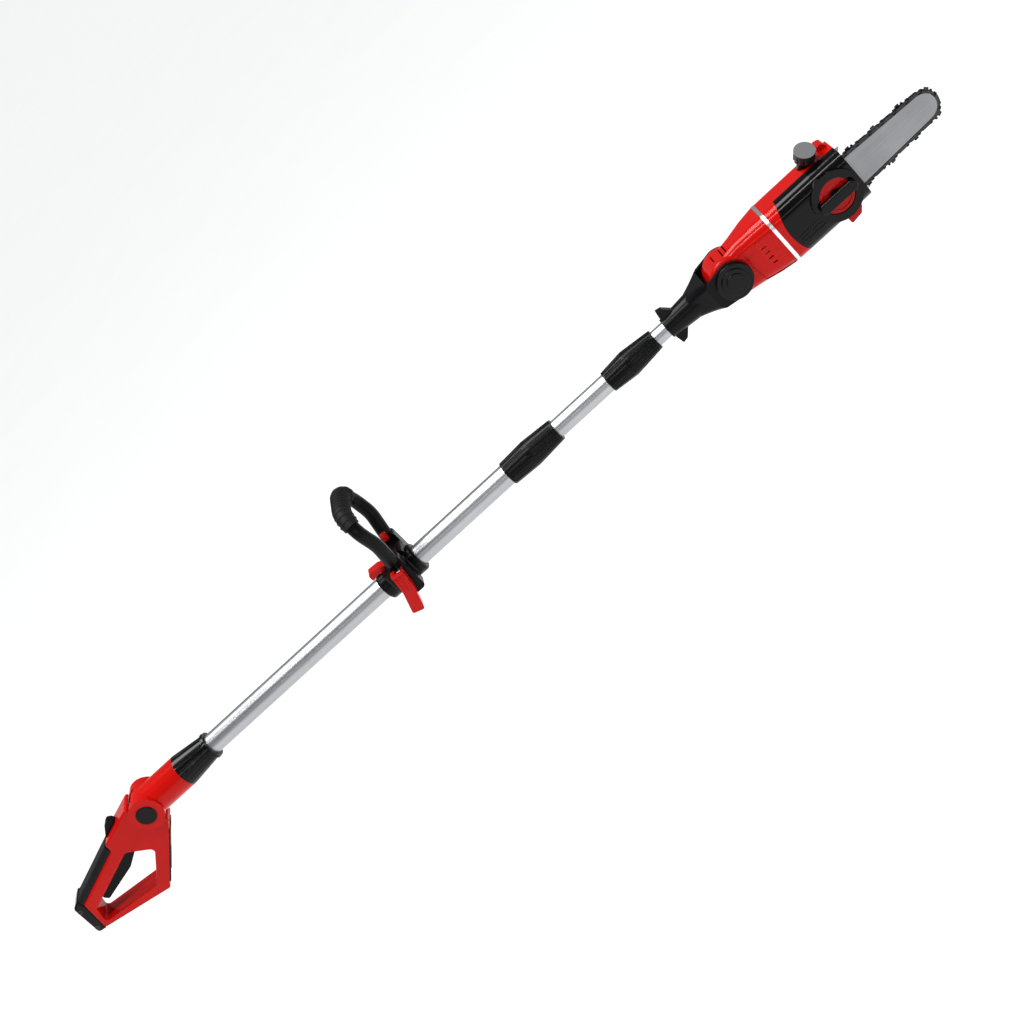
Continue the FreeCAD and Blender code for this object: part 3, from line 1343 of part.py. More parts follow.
def pole_nodes():
    shapes = {}
    shapes["outer_tube"] = tube_stage(outer_tube_radius, pole_rear, outer_tube_front)
    shapes["pole_socket"] = pole_socket()
    shapes["socket_collar"] = socket_collar()
    shapes["swivel_pin"] = swivel_pin()
    shapes["hub_caps"] = hub_caps()
    shapes["lower_collar_base"] = collar_base(lower_base_rear, lower_base_length, outer_tube_radius,
                                              lower_rear_radius, lower_seam_radius)
    shapes["lower_twist_sleeve"] = collar_sleeve(lower_seam, lower_sleeve_length, outer_tube_radius,
                                                 middle_tube_radius, lower_seam_radius, lower_front_radius)
    shapes["lower_collet"] = collet(outer_tube_front, outer_tube_radius, middle_tube_radius,
                                    lower_sleeve_front)
    shapes["middle_tube"] = tube_stage(middle_tube_radius, middle_tube_rear, middle_tube_front)
    shapes["upper_collar_base"] = collar_base(upper_base_rear, upper_base_length, middle_tube_radius,
                                              upper_rear_radius, upper_seam_radius)
    shapes["upper_twist_sleeve"] = collar_sleeve(upper_seam, upper_sleeve_length, middle_tube_radius,
                                                 inner_tube_radius, upper_seam_radius, upper_front_radius)
    shapes["upper_collet"] = collet(middle_tube_front, middle_tube_radius, inner_tube_radius,
                                    upper_sleeve_front)
    shapes["inner_tube"] = tube_stage(inner_tube_radius, inner_tube_rear, inner_tube_front)
    return shapes


def handle_nodes():
    shapes = {}
    right, left = handle_shells()
    screw_face = panel_step - handle_half_width
    holes = mirrored(group([side_screw_hole(x, z, screw_face, 26) for x, z in shell_screw_places()]))
    shapes["handle_shell_right"] = right.cut(holes)
    shapes["handle_shell_left"] = left.cut(holes)
    shapes["shell_screws"] = mirrored(group([side_screw(x, z, screw_face, 25)
                                             for x, z in shell_screw_places()]))
    shapes["grip_pad"] = grip_pad()
    foot_holes = group([side_screw_hole(x, z, -foot_half_width, 20) for x, z in foot_screw_places()])
    shapes["foot_cap"] = foot_cap().cut(foot_holes)
    shapes["foot_screws"] = group([side_screw(x, z, -foot_half_width, 19) for x, z in foot_screw_places()])
    shapes["trigger"] = trigger()
    shapes["trigger_spring"] = trigger_spring()
    shapes["lock_off_button"] = lock_off_button()
    shapes["switch_block"] = switch_block()
    shapes["battery_dock"] = battery_dock()
    shapes["battery_terminals"] = battery_terminals()
    return shapes


def bow_nodes():
    shapes = {}
    shapes["loop_bow"] = loop_bow()
    shapes["loop_grip"] = loop_grip()
    shapes["clamp_body"] = clamp_body()
    shapes["release_tab"] = release_tab()
    shapes["release_tab_pin"] = release_tab_pin()
    shapes["cam_lever"] = cam_lever()
    shapes["lever_pin"] = lever_pin()
    shapes["bow_bolt"] = bow_bolt()
    shapes["bow_nut"] = bow_nut()
    return shapes


def neck_nodes():
    shapes = {}
    shapes["neck"] = neck()
    shapes["tilt_bolt"] = tilt_bolt()
    shapes["tilt_knob"] = tilt_knob()
    shapes["tilt_nut"] = tilt_nut()
    shapes["detent_disc"] = detent_disc()
    return shapes


def head_nodes():
    shapes = {}
    right, left = housings()
    shapes["housing_right"] = right
    shapes["housing_left"] = left
    shapes["housing_band"] = band_blank(band_proud, band_depth, 0)
    shapes["motor"] = motor()
    shapes["motor_pinion"] = motor_pinion()
    shapes["gear_bulkhead"] = gear_bulkhead()
    shapes["drive_gear"] = drive_gear()
    shapes["sprocket_shaft"] = sprocket_shaft()
    shapes["shaft_bearings"] = shaft_bearings()
    shapes["drive_sprocket"] = drive_sprocket()
    shapes["bar_stud"] = bar_stud()
    shapes["guide_bar"] = guide_bar()
    shapes["nose_sprocket"] = nose_sprocket()
    shapes["saw_chain"] = saw_chain()
    shapes["sprocket_cover"] = sprocket_cover()
    shapes["tension_ring"] = tension_ring()
    shapes["cover_knob"] = cover_knob()
    shapes["spike_bumper"] = spike_bumper()
    shapes["branch_hook"] = branch_hook()
    shapes["oil_tank"] = oil_tank()
    shapes["oil_cap"] = oil_cap()
    return shapes


def build():
    shapes = {}
    for nodes in (pole_nodes(), handle_nodes(), bow_nodes(), neck_nodes(), head_nodes()):
        shapes.update(nodes)
    return shapes


shapes = build()
origin = Vector(storage_clip_x, 0, 0)
os.makedirs("parts", exist_ok=True)
for node, shape in shapes.items():
    shape.translate(origin * -1)
    shape.exportStep("parts/" + node + ".step")
print(len(shapes), "nodes")
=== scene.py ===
# %% [markdown]
# # A telescoping pole saw
# The tool is a long aluminium pole in three stages, with a red handle at one end and a small
# chainsaw at the other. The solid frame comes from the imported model, and its pieces are already in
# place. This lesson gives each piece a finish, remakes the chain link by link and adds finger ribs
# to the cam lever.
# %% Load the frame
import json
from math import cos, pi, radians, sin

import bmesh
import bpy
from mathutils import Matrix, Vector


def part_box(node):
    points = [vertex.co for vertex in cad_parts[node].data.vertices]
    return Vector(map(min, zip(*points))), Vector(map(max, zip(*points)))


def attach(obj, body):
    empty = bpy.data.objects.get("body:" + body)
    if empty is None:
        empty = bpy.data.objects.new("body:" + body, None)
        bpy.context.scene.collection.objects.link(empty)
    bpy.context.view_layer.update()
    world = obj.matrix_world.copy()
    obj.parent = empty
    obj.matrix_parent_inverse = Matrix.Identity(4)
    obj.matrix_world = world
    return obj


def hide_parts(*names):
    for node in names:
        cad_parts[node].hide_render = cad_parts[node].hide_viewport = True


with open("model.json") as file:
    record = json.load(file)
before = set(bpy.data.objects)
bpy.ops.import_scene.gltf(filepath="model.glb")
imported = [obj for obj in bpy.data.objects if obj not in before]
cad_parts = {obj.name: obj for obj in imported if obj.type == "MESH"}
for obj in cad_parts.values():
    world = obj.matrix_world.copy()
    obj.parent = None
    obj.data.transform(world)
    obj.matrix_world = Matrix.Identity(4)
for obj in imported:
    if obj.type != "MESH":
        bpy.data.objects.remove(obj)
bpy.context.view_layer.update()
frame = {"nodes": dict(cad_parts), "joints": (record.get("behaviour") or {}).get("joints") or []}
nodes = frame["nodes"]
MM = 0.001

# %% [markdown]
# ## Camera
# The tool is seen from its right side and a little above. The camera stands at one point and aims
# at another, near the middle of the pole, and is then rolled about its own line of sight, so that
# the long pole runs from corner to corner of a square picture.

# %% Camera
STAND = Vector((0.4933, -1.9018, 0.8890))
AIM = Vector((0.0471, 0.0, -0.0437))
ROLL = radians(-47.96)
LENS = 58.01
SENSOR_WIDTH = 36.0
FARTHEST = 50.0
camera_data = bpy.data.cameras.new("camera")
camera_data.lens = LENS
camera_data.sensor_width = SENSOR_WIDTH
camera_data.sensor_fit = "HORIZONTAL"
camera_data.clip_end = FARTHEST
camera = bpy.data.objects.new("camera", camera_data)
bpy.context.scene.collection.objects.link(camera)
facing = (AIM - STAND).to_track_quat("-Z", "Y").to_matrix().to_4x4()
camera.matrix_world = Matrix.Translation(STAND) @ facing @ Matrix.Rotation(ROLL, 4, "Z")
bpy.context.scene.camera = camera
print("camera stands", round((AIM - STAND).length, 3), "m from its aim")

# %% [markdown]
# ## Floor and light
# The tool is held up by its pole, so the floor lies well below it and runs far past the picture. A
# wide sun overhead lights the floor evenly. Two long, narrow lamps lie along the pole, because a
# tube and a glossy housing show a lamp as a bright stripe, and a narrow lamp keeps that stripe thin
# and the black parts black.


# %% Lamp helpers
STRIP_LENGTH = 3.0
POLE_MIDDLE = Vector((0.0, 0.0, 0.0))


def hang(lamp, place, direction):
    """Lamp put at a place and turned to shine in a direction"""
    holder = bpy.data.objects.new(lamp.name, lamp)
    bpy.context.scene.collection.objects.link(holder)
    holder.location = place
    holder.rotation_euler = direction.to_track_quat("-Z", "Y").to_euler()


def strip_lamp(name, place, width, power):
    """Long area lamp that lies along the pole and is aimed at its middle"""
    lamp = bpy.data.lights.new(name, "AREA")
    lamp.shape = "RECTANGLE"
    lamp.size = STRIP_LENGTH
    lamp.size_y = width
    lamp.energy = power
    hang(lamp, place, POLE_MIDDLE - place)


print("strip lamps are", STRIP_LENGTH, "m long")

# %% Floor and lamps
FLOOR_SIZE = 500.0
FLOOR_DROP = 0.55
SUN_POWER = 2.5
SUN_SPREAD = radians(30)
SUN_DIRECTION = Vector((0.15, -0.22, -1.0))
bpy.ops.mesh.primitive_plane_add(size=FLOOR_SIZE, location=(0, 0, -FLOOR_DROP))
floor = bpy.context.object
floor.name = "studio_floor"
sun = bpy.data.lights.new("overhead", "SUN")
sun.energy = SUN_POWER
sun.angle = SUN_SPREAD
hang(sun, POLE_MIDDLE, SUN_DIRECTION)
strip_lamp("front_strip", Vector((0.0, -1.1, 2.6)), width=0.26, power=52)
strip_lamp("low_strip", Vector((0.0, -2.6, 0.9)), width=0.10, power=7)
print("floor at", -FLOOR_DROP)

# %% Sky
SKY_COLOUR = (0.93, 0.945, 0.96, 1)
SKY_STRENGTH = 0.27
world = bpy.data.worlds.new("studio")
world.use_nodes = True
background = world.node_tree.nodes["Background"]
background.inputs["Color"].default_value = SKY_COLOUR
background.inputs["Strength"].default_value = SKY_STRENGTH
bpy.context.scene.world = world
bpy.context.scene.view_settings.view_transform = "Standard"
print("sky strength", SKY_STRENGTH)

# %% [markdown]
# ## Shader sums
# A finish is mostly sums on patterns: a noise times a strength, plus a base value. Writing those as
# Python sums is easier to read than wiring nodes one by one, so a small class wraps a socket and
# turns each sum into a Math node. Every other node comes from its one `node` method.


# %% Shade class
class Shade:
    """A shader socket that can be used in Python sums"""

    def __init__(self, socket):
        self.socket = socket

    def node(self, kind, settings=None, inputs=None, out=0):
        """New node of a kind: its settings are made first, then its sockets are set or linked"""
        tree = self.socket.id_data
        new = tree.nodes.new(kind)
        for name, value in (settings or {}).items():
            setattr(new, name, value)
        for name, value in (inputs or {}).items():
            if isinstance(value, Shade):
                tree.links.new(value.socket, new.inputs[name])
            else:
                new.inputs[name].default_value = value
        return Shade(new.outputs[out])

    def maths(self, operation, first, second):
        """Math node on two shades or numbers"""
        return self.node("ShaderNodeMath", {"operation": operation}, {0: first, 1: second})

    def __add__(self, other):
        return self.maths("ADD", self, other)

    def __radd__(self, other):
        return self.maths("ADD", other, self)

    def __mul__(self, other):
        return self.maths("MULTIPLY", self, other)

    def __rmul__(self, other):
        return self.maths("MULTIPLY", other, self)

    def between(self, low, high):
        """0 below one value and 1 above another, smooth between them"""
        return self.node("ShaderNodeMapRange", {"interpolation_type": "SMOOTHSTEP"},
                         {"Value": self, "From Min": low, "From Max": high})


print("shade class ready")

# %% [markdown]
# ## A material to start from
# Every finish begins with Blender's Principled shader and the piece's own Object coordinates, in
# metres, so that a pattern keeps its real size and stays with the piece when it moves. The Mix node
# has sockets for each kind of value, so its colour sockets are named here by their numbers.


# %% New material
def new_material(name, metallic=0.0, coat=0.0, coat_roughness=0.1, specular=0.5):
    """Material with its Principled shader and its coordinates"""
    material = bpy.data.materials.new(name)
    material.use_nodes = True
    shader = material.node_tree.nodes["Principled BSDF"]
    shader.inputs["Metallic"].default_value = metallic
    shader.inputs["Coat Weight"].default_value = coat
    shader.inputs["Coat Roughness"].default_value = coat_roughness
    shader.inputs["Specular IOR Level"].default_value = specular
    place = Shade(material.node_tree.nodes.new("ShaderNodeTexCoord").outputs["Object"])
    return material, shader, place


def dress(piece, material):
    """Piece given one material in its first slot"""
    piece.data.materials.clear()
    piece.data.materials.append(material)


print("material start ready")

# %% Pattern helpers
MIX_FIRST = 6
MIX_SECOND = 7
MIX_COLOUR_OUT = 2


def feed(shader, socket, shade):
    """Shade linked to a socket of the Principled shader"""
    shader.id_data.links.new(shade.socket, shader.inputs[socket])


def stretched(place, scale):
    """Coordinates multiplied along each axis"""
    return place.node("ShaderNodeMapping", {"vector_type": "POINT"}, {"Vector": place, "Scale": scale})


def noise(place, scale, detail=3.0, roughness=0.55):
    """Cloudy pattern with so many repeats a metre"""
    inputs = {"Vector": place, "Scale": scale, "Detail": detail, "Roughness": roughness}
    return place.node("ShaderNodeTexNoise", {}, inputs)


def blended(mask, first, second):
    """Colour that goes from a first to a second with a mask"""
    inputs = {"Factor": mask, MIX_FIRST: (*first, 1.0), MIX_SECOND: (*second, 1.0)}
    return mask.node("ShaderNodeMix", {"data_type": "RGBA"}, inputs, out=MIX_COLOUR_OUT)


def bumped(shader, height, depth):
    """Height pattern made into the shader's normal, its depth in millimetres"""
    bump = height.node("ShaderNodeBump", {}, {"Height": height, "Distance": depth * MM})
    feed(shader, "Normal", bump)


print("pattern helpers ready")

# %% [markdown]
# ## Moulded plastics
# The red shells are glossy: a clear, slightly uneven skin like orange peel, with faint scuffs that
# dull it in patches. The black parts are moulded with a fine grain. Both are noise at two sizes: a
# broad one for the patches and a fine one for the grain. The shine is kept low, because a pale
# floor all round would otherwise wash out the blacks.


# %% Plastics
PLASTIC_SHINE = 0.11
CLEAR_COAT_ROUGHNESS = 0.05
PATCH_SCALE = 9.0
PATCH_DULLING = 0.05
PATCH_DEPTH = 0.4
SCUFF_STRETCH = (60, 260, 260)
SCUFF_DULLING = 0.08


def moulded(name, base, dull, rough, grain_size, grain_depth, coat=0.0):
    """Moulded plastic with a broad change of tone and a fine grain, measured in millimetres"""
    material, shader, place = new_material(name, coat=coat, coat_roughness=CLEAR_COAT_ROUGHNESS,
                                           specular=PLASTIC_SHINE)
    patches = noise(place, PATCH_SCALE, detail=2.0)
    grain = noise(place, 1.0 / (grain_size * MM), detail=4.0)
    scratches = noise(stretched(place, SCUFF_STRETCH), 1.0, detail=6.0, roughness=0.7)
    scuffs = scratches.between(0.60, 0.72)
    feed(shader, "Base Color", blended(patches.between(0.3, 0.7), base, dull))
    feed(shader, "Roughness", rough + PATCH_DULLING * patches + SCUFF_DULLING * scuffs)
    bumped(shader, grain + PATCH_DEPTH * patches, grain_depth)
    return material


red_gloss = moulded("red_gloss_plastic", base=(0.52, 0.0035, 0.0015), dull=(0.45, 0.003, 0.0012),
                    rough=0.15, grain_size=3.2, grain_depth=0.006, coat=0.08)
black_satin = moulded("black_satin_plastic", base=(0.002, 0.002, 0.0025), dull=(0.004, 0.004, 0.0045),
                      rough=0.24, grain_size=0.7, grain_depth=0.008)
black_gloss = moulded("black_gloss_plastic", base=(0.0015, 0.0015, 0.002), dull=(0.003, 0.003, 0.0035),
                      rough=0.12, grain_size=2.4, grain_depth=0.003, coat=0.12)
grey_nylon = moulded("grey_nylon", base=(0.10, 0.10, 0.105), dull=(0.14, 0.14, 0.145),
                     rough=0.45, grain_size=0.6, grain_depth=0.05)
print("plastics", [plastic.name for plastic in (red_gloss, black_satin, black_gloss, grey_nylon)])

# %% [markdown]
# ## The oil cap's painted highlight
# The cap is black round its lobed side. Its flat top is coloured pale grey as a painted highlight, for
# the light that falls on it. The top is found by how far a point lies along the cap's own axis, a dot
# product with the coordinates, so the painted highlight needs no image and stays in place when the cap
# turns.

# %% Oil cap finish with a painted highlight
CAP_BLACK = (0.005, 0.005, 0.0055)
# The pale grey and its edges make a painted highlight on the cap's flat top, standing in for light
CAP_PAINTED_HIGHLIGHT = (0.17, 0.17, 0.175)
CAP_HIGHLIGHT_STARTS = 1.2 * MM
CAP_HIGHLIGHT_FULL = 0.5 * MM
CAP_ROUGHNESS = 0.36
CAP_GRAIN_SCALE = 1400.0
CAP_GRAIN_DULLING = 0.15
DOT_OUT = 1
cap_joint = next(joint for joint in frame["joints"] if joint["name"] == "oil_cap_turn")
cap_axis = Vector(cap_joint["axis"])
cap_top = max(vertex.co.dot(cap_axis) for vertex in nodes["oil_cap"].data.vertices)
cap_material, cap_shader, cap_place = new_material("cap_with_painted_highlight", coat=0.1)
along_cap = cap_place.node("ShaderNodeVectorMath", {"operation": "DOT_PRODUCT"},
                           {0: cap_place, 1: cap_axis}, out=DOT_OUT)
# Painted highlight: the flat top of the cap is coloured grey where light falls on it
painted_highlight_mask = along_cap.between(cap_top - CAP_HIGHLIGHT_STARTS, cap_top - CAP_HIGHLIGHT_FULL)
cap_grain = noise(cap_place, CAP_GRAIN_SCALE, detail=4.0)
feed(cap_shader, "Base Color", blended(painted_highlight_mask, CAP_BLACK, CAP_PAINTED_HIGHLIGHT))
feed(cap_shader, "Roughness", CAP_ROUGHNESS + CAP_GRAIN_DULLING * cap_grain)
bumped(cap_shader, cap_grain, depth=0.05)
dress(nodes["oil_cap"], cap_material)
print("oil cap top at", round(cap_top, 4), "along its axis")

# %% [markdown]
# ## Soft overmould
# The grips are a soft rubber with a matt, slightly dusty skin. Its grain is a cell pattern rather
# than a noise, because rubber moulds are etched with small round pits.

# %% Rubber
GRIP_BLACK = (0.004, 0.004, 0.0045)
GRIP_DUSTY = (0.009, 0.009, 0.010)
GRIP_ROUGHNESS = 0.52
PIT_SCALE = 1400.0
DUST_SCALE = 22.0
DUST_DULLING = 0.16
RIPPLE_SCALE = 500.0
RIPPLE_DEPTH = 0.3
soft_grip, grip_shader, grip_place = new_material("soft_grip_rubber", specular=0.20)
pits = grip_place.node("ShaderNodeTexVoronoi", {"feature": "F1"}, {"Vector": grip_place, "Scale": PIT_SCALE})
dust = noise(grip_place, DUST_SCALE)
ripples = noise(grip_place, RIPPLE_SCALE)
feed(grip_shader, "Base Color", blended(dust.between(0.35, 0.75), GRIP_BLACK, GRIP_DUSTY))
feed(grip_shader, "Roughness", GRIP_ROUGHNESS + DUST_DULLING * dust)
bumped(grip_shader, pits + RIPPLE_DEPTH * ripples, depth=0.06)
print("rubber", soft_grip.name)

# %% [markdown]
# ## Metals
# Drawn aluminium tube and ground steel both show fine lines along the way they were worked. A noise
# squeezed across the lines and stretched along them gives those, and feeds the roughness and a very
# shallow bump. A metal with no one direction, such as plating, is squeezed alike on every axis.


# %% Metal helper
TARNISH_SCALE = 14.0
TARNISH_SHARE = 0.4
LINE_SHARE = 0.6
LINE_DULLING = 0.14
EVEN = (900, 900, 900)


def worked_metal(name, light, dark, rough, lines, depth, wear=0.0):
    """Metal with fine lines, squeezed so many times along each axis and so many millimetres deep"""
    material, shader, place = new_material(name, metallic=1.0)
    marks = noise(stretched(place, lines), 1.0, detail=5.0, roughness=0.7)
    tarnish = noise(place, TARNISH_SCALE)
    bright = (LINE_SHARE * marks + TARNISH_SHARE * tarnish).between(0.35, 0.65)
    feed(shader, "Base Color", blended(bright, dark, light))
    feed(shader, "Roughness", rough + LINE_DULLING * marks + wear * tarnish)
    bumped(shader, marks, depth)
    return material


print("metal helper ready")

# %% Metals
tube_metal = worked_metal("drawn_aluminium_tube", light=(0.44, 0.445, 0.46), dark=(0.38, 0.385, 0.40),
                          rough=0.27, lines=(6, 900, 900), depth=0.0015)
bar_metal = worked_metal("ground_bar_steel", light=(0.30, 0.305, 0.315), dark=(0.22, 0.225, 0.235),
                         rough=0.30, lines=(8, 1800, 1800), depth=0.012)
band_metal = worked_metal("bright_band", light=(0.86, 0.87, 0.88), dark=(0.74, 0.75, 0.77),
                          rough=0.22, lines=(1500, 12, 12), depth=0.006)
zinc_metal = worked_metal("zinc_plated_steel", light=(0.62, 0.62, 0.60), dark=(0.46, 0.46, 0.45),
                          rough=0.28, lines=(700, 700, 700), depth=0.01, wear=0.1)
dark_screw = worked_metal("blackened_screw", light=(0.10, 0.075, 0.07), dark=(0.05, 0.04, 0.04),
                          rough=0.32, lines=EVEN, depth=0.01)
chain_metal = worked_metal("oiled_chain_steel", light=(0.075, 0.075, 0.08), dark=(0.03, 0.03, 0.032),
                           rough=0.30, lines=(500, 900, 900), depth=0.02, wear=0.12)
can_metal = worked_metal("pressed_motor_can", light=(0.5, 0.5, 0.51), dark=(0.38, 0.38, 0.39),
                         rough=0.32, lines=(900, 30, 30), depth=0.01)
spring_metal = worked_metal("spring_wire", light=(0.55, 0.55, 0.56), dark=(0.40, 0.40, 0.41),
                            rough=0.26, lines=EVEN, depth=0.01)
contact_metal = worked_metal("plated_brass", light=(0.80, 0.58, 0.25), dark=(0.66, 0.46, 0.18),
                             rough=0.25, lines=EVEN, depth=0.01)
print("metals", tube_metal.name, bar_metal.name, chain_metal.name)

# %% [markdown]
# ## Which piece has which finish
# A frame node keeps its mesh and gets a material in its first slot. One table says which, so that a
# finish is changed in one place for every piece that shares it.

# %% Finishes on the frame
FINISHES = {
    red_gloss: ["pole_socket", "handle_shell_right", "handle_shell_left", "release_tab", "cam_lever",
                "bow_nut", "housing_right", "housing_left", "tension_ring", "branch_hook"],
    black_satin: ["lower_collar_base", "lower_twist_sleeve", "upper_collar_base", "upper_twist_sleeve",
                  "trigger", "lock_off_button", "battery_dock", "loop_bow", "clamp_body", "neck",
                  "tilt_nut", "oil_tank"],
    black_gloss: ["sprocket_cover", "cover_knob", "tilt_knob", "foot_cap", "hub_caps", "socket_collar"],
    grey_nylon: ["lower_collet", "upper_collet", "switch_block", "gear_bulkhead"],
    soft_grip: ["grip_pad", "loop_grip"],
    tube_metal: ["outer_tube", "middle_tube", "inner_tube"],
    bar_metal: ["guide_bar"],
    band_metal: ["housing_band"],
    zinc_metal: ["swivel_pin", "release_tab_pin", "lever_pin", "bow_bolt", "tilt_bolt", "detent_disc",
                 "motor_pinion", "drive_gear", "sprocket_shaft", "shaft_bearings", "drive_sprocket",
                 "bar_stud", "nose_sprocket", "spike_bumper"],
    dark_screw: ["shell_screws", "foot_screws"],
    chain_metal: ["saw_chain"],
    can_metal: ["motor"],
    spring_metal: ["trigger_spring"],
    contact_metal: ["battery_terminals"],
}
for material, names in FINISHES.items():
    for name in names:
        dress(nodes[name], material)
finished = {name for names in FINISHES.values() for name in names} | {"oil_cap"}
print("without a finish:", sorted(set(nodes) - finished))

# %% [markdown]
# ## Modelling by hand, in code
# Each operator acts on whatever is selected, so these helpers first clear the selection and then
# pick faces, edges or vertices by where they are and which way they look. Sizes come in millimetres
# and are applied to the mesh, so that a finished piece has its object at the origin.


# %% Selection helpers
def deselect():
    """Object mode with nothing selected"""
    if bpy.context.object and bpy.context.object.mode != "OBJECT":
        bpy.ops.object.mode_set(mode="OBJECT")
    bpy.ops.object.select_all(action="DESELECT")


def only(piece):
    """One piece selected and active"""
    deselect()
    piece.select_set(True)
    bpy.context.view_layer.objects.active = piece


def pick(piece, kind, test):
    """Edit mode with only the faces, edges or vertices that pass a test selected"""
    only(piece)
    bpy.ops.object.mode_set(mode="EDIT")
    bpy.ops.mesh.select_mode(type=kind)
    bpy.ops.mesh.select_all(action="DESELECT")
    mesh = bmesh.from_edit_mesh(piece.data)
    for item in {"VERT": mesh.verts, "EDGE": mesh.edges, "FACE": mesh.faces}[kind]:
        if test(item):
            item.select_set(True)
    mesh.select_flush_mode()
    bmesh.update_edit_mesh(piece.data)


def done():
    """Back to object mode"""
    bpy.ops.object.mode_set(mode="OBJECT")


def joined(name, pieces):
    """Pieces made one mesh"""
    deselect()
    for piece in pieces:
        piece.select_set(True)
    bpy.context.view_layer.objects.active = pieces[0]
    bpy.ops.object.join()
    whole = bpy.context.object
    whole.name = name
    return whole


print("selection helpers ready")

# %% Plates and rivets
SQUARELY = 0.9
RIVET_RADIUS = 1.25
RIVET_LENGTH = 5.0
RIVET_SIDES = 12
HEAD_RIM = 0.4
HEAD_DOME = 0.15


def plate(size, place):
    """Box with its place and size in its mesh"""
    deselect()
    bpy.ops.mesh.primitive_cube_add(size=1.0, location=[MM * value for value in place])
    piece = bpy.context.object
    piece.scale = [MM * value for value in size]
    bpy.ops.object.transform_apply(location=True, rotation=True, scale=True)
    return piece


def across(edge):
    """Whether an edge runs along Y, through a plate's thickness"""
    run = edge.verts[1].co - edge.verts[0].co
    return abs(run.y) > SQUARELY * run.length


def rounded_plate(size, place, corner):
    """Plate whose four edges through its thickness are rounded"""
    piece = plate(size, place)
    pick(piece, "EDGE", across)
    bpy.ops.mesh.bevel(offset=corner * MM, segments=3, affect="EDGES")
    done()
    return piece


def rivet(x):
    """Rivet across the chain with slightly domed heads"""
    deselect()
    bpy.ops.mesh.primitive_cylinder_add(vertices=RIVET_SIDES, radius=RIVET_RADIUS * MM,
                                        depth=RIVET_LENGTH * MM, location=(x * MM, 0, 0),
                                        rotation=(pi / 2, 0, 0))
    bpy.ops.object.transform_apply(location=True, rotation=True, scale=True)
    piece = bpy.context.object
    pick(piece, "FACE", lambda face: abs(face.normal.y) > SQUARELY)
    bpy.ops.mesh.inset(thickness=HEAD_RIM * MM, depth=HEAD_DOME * MM)
    done()
    return piece


print("plates and rivets ready")

# %% [markdown]
# ## The chain, link by link
# The frame carries the chain as one closed band. The real one is a row of links on rivets: pairs of
# side straps, centre links that run in the bar's groove and carry a small ramp, and a cutter in
# place of a strap on alternate sides. Each kind of link is modelled once and then copied to its
# place round the bar.
#
# First the rivets' path is needed. It lies round the drive sprocket, the bar's two shoulders and
# the nose like a stretched string. For each direction, the string touches whichever of these
# reaches farthest that way, which gives the whole path with no joints to work out by hand.

# %% Chain sizes, read from the frame
SHOULDER_AHEAD = 65 * MM
RIVET_LINE = 2.7 * MM
LINKS = 52
bar_low, bar_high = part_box("guide_bar")
nose_low, nose_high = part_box("nose_sprocket")
wheel_low, wheel_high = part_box("drive_sprocket")
nose_middle = (nose_low + nose_high) / 2
wheel_middle = (wheel_low + wheel_high) / 2
nose_radius = bar_high.x - nose_middle.x
wheel_radius = (wheel_high.z - wheel_low.z) / 2
half_bar = (bar_high.z - bar_low.z) / 2
bar_plane = (bar_low.y + bar_high.y) / 2
shoulder_x = wheel_middle.x + SHOULDER_AHEAD
print("bar half height", round(half_bar, 4), "nose radius", round(nose_radius, 4))


# %% Where the links go
PATH_STEPS = 2880


def rivet_path():
    """Closed row of points round the bar on the rivets' line"""
    circles = [(wheel_middle.x, 0.0, wheel_radius), (shoulder_x, half_bar, 0.0),
               (shoulder_x, -half_bar, 0.0), (nose_middle.x, 0.0, nose_radius)]
    path = []
    for step in range(PATH_STEPS):
        angle = 2 * pi * step / PATH_STEPS
        out = Vector((cos(angle), 0, sin(angle)))
        reach = [x * out.x + z * out.z + radius for x, z, radius in circles]
        x, z, radius = circles[reach.index(max(reach))]
        path.append(Vector((x, bar_plane, z + nose_middle.z)) + out * (radius + RIVET_LINE))
    return path


def even_stations(path, count):
    """Places at even steps along a closed path, and the length of a step"""
    runs = [(path[(i + 1) % len(path)] - path[i]).length for i in range(len(path))]
    pitch = sum(runs) / count
    stations = []
    travelled = 0.0
    index = 0
    for number in range(count):
        while travelled + runs[index] < number * pitch:
            travelled += runs[index]
            index += 1
        share = (number * pitch - travelled) / runs[index]
        stations.append(path[index].lerp(path[(index + 1) % len(path)], share))
    return stations, pitch


stations, pitch = even_stations(rivet_path(), LINKS)
span = pitch / MM
print("links", LINKS, "rivet pitch", round(span, 2), "mm")

# %% [markdown]
# ## One of each link
# A link lies along X with the bar below it. Its plates are boxes with their corners bevelled round.
# The cutter starts as an upright wall on one strap: its top is extruded up, the inner side of that
# new band is extruded across the chain to make the cutting plate, and the rear end is lowered,
# because only the front edge cuts. The depth gauge stands ahead of it.

# %% Side straps and centre link
STRAP_THICKNESS = 1.0
CENTRE_THICKNESS = 1.2
CHAIN_WIDTH = 4.8
LINK_HEIGHT = 4.2
LINK_CORNER = 1.8
STRAP_PAST_RIVETS = 3.9
CENTRE_PAST_RIVETS = 3.6
strap_y = CHAIN_WIDTH / 2 - STRAP_THICKNESS / 2
strap_size = (span + STRAP_PAST_RIVETS, STRAP_THICKNESS, LINK_HEIGHT)
side_straps = joined("side_straps", [
    rounded_plate(strap_size, (0, -strap_y, 0), LINK_CORNER),
    rounded_plate(strap_size, (0, strap_y, 0), LINK_CORNER),
    rivet(-span / 2), rivet(span / 2)])
centre_size = (span + CENTRE_PAST_RIVETS, CENTRE_THICKNESS, LINK_HEIGHT)
centre_body = rounded_plate(centre_size, (0, 0, 0), LINK_CORNER)
ramp = rounded_plate(size=(4.6, CENTRE_THICKNESS, 2.6), place=(1.6, 0, 2.3), corner=1.1)
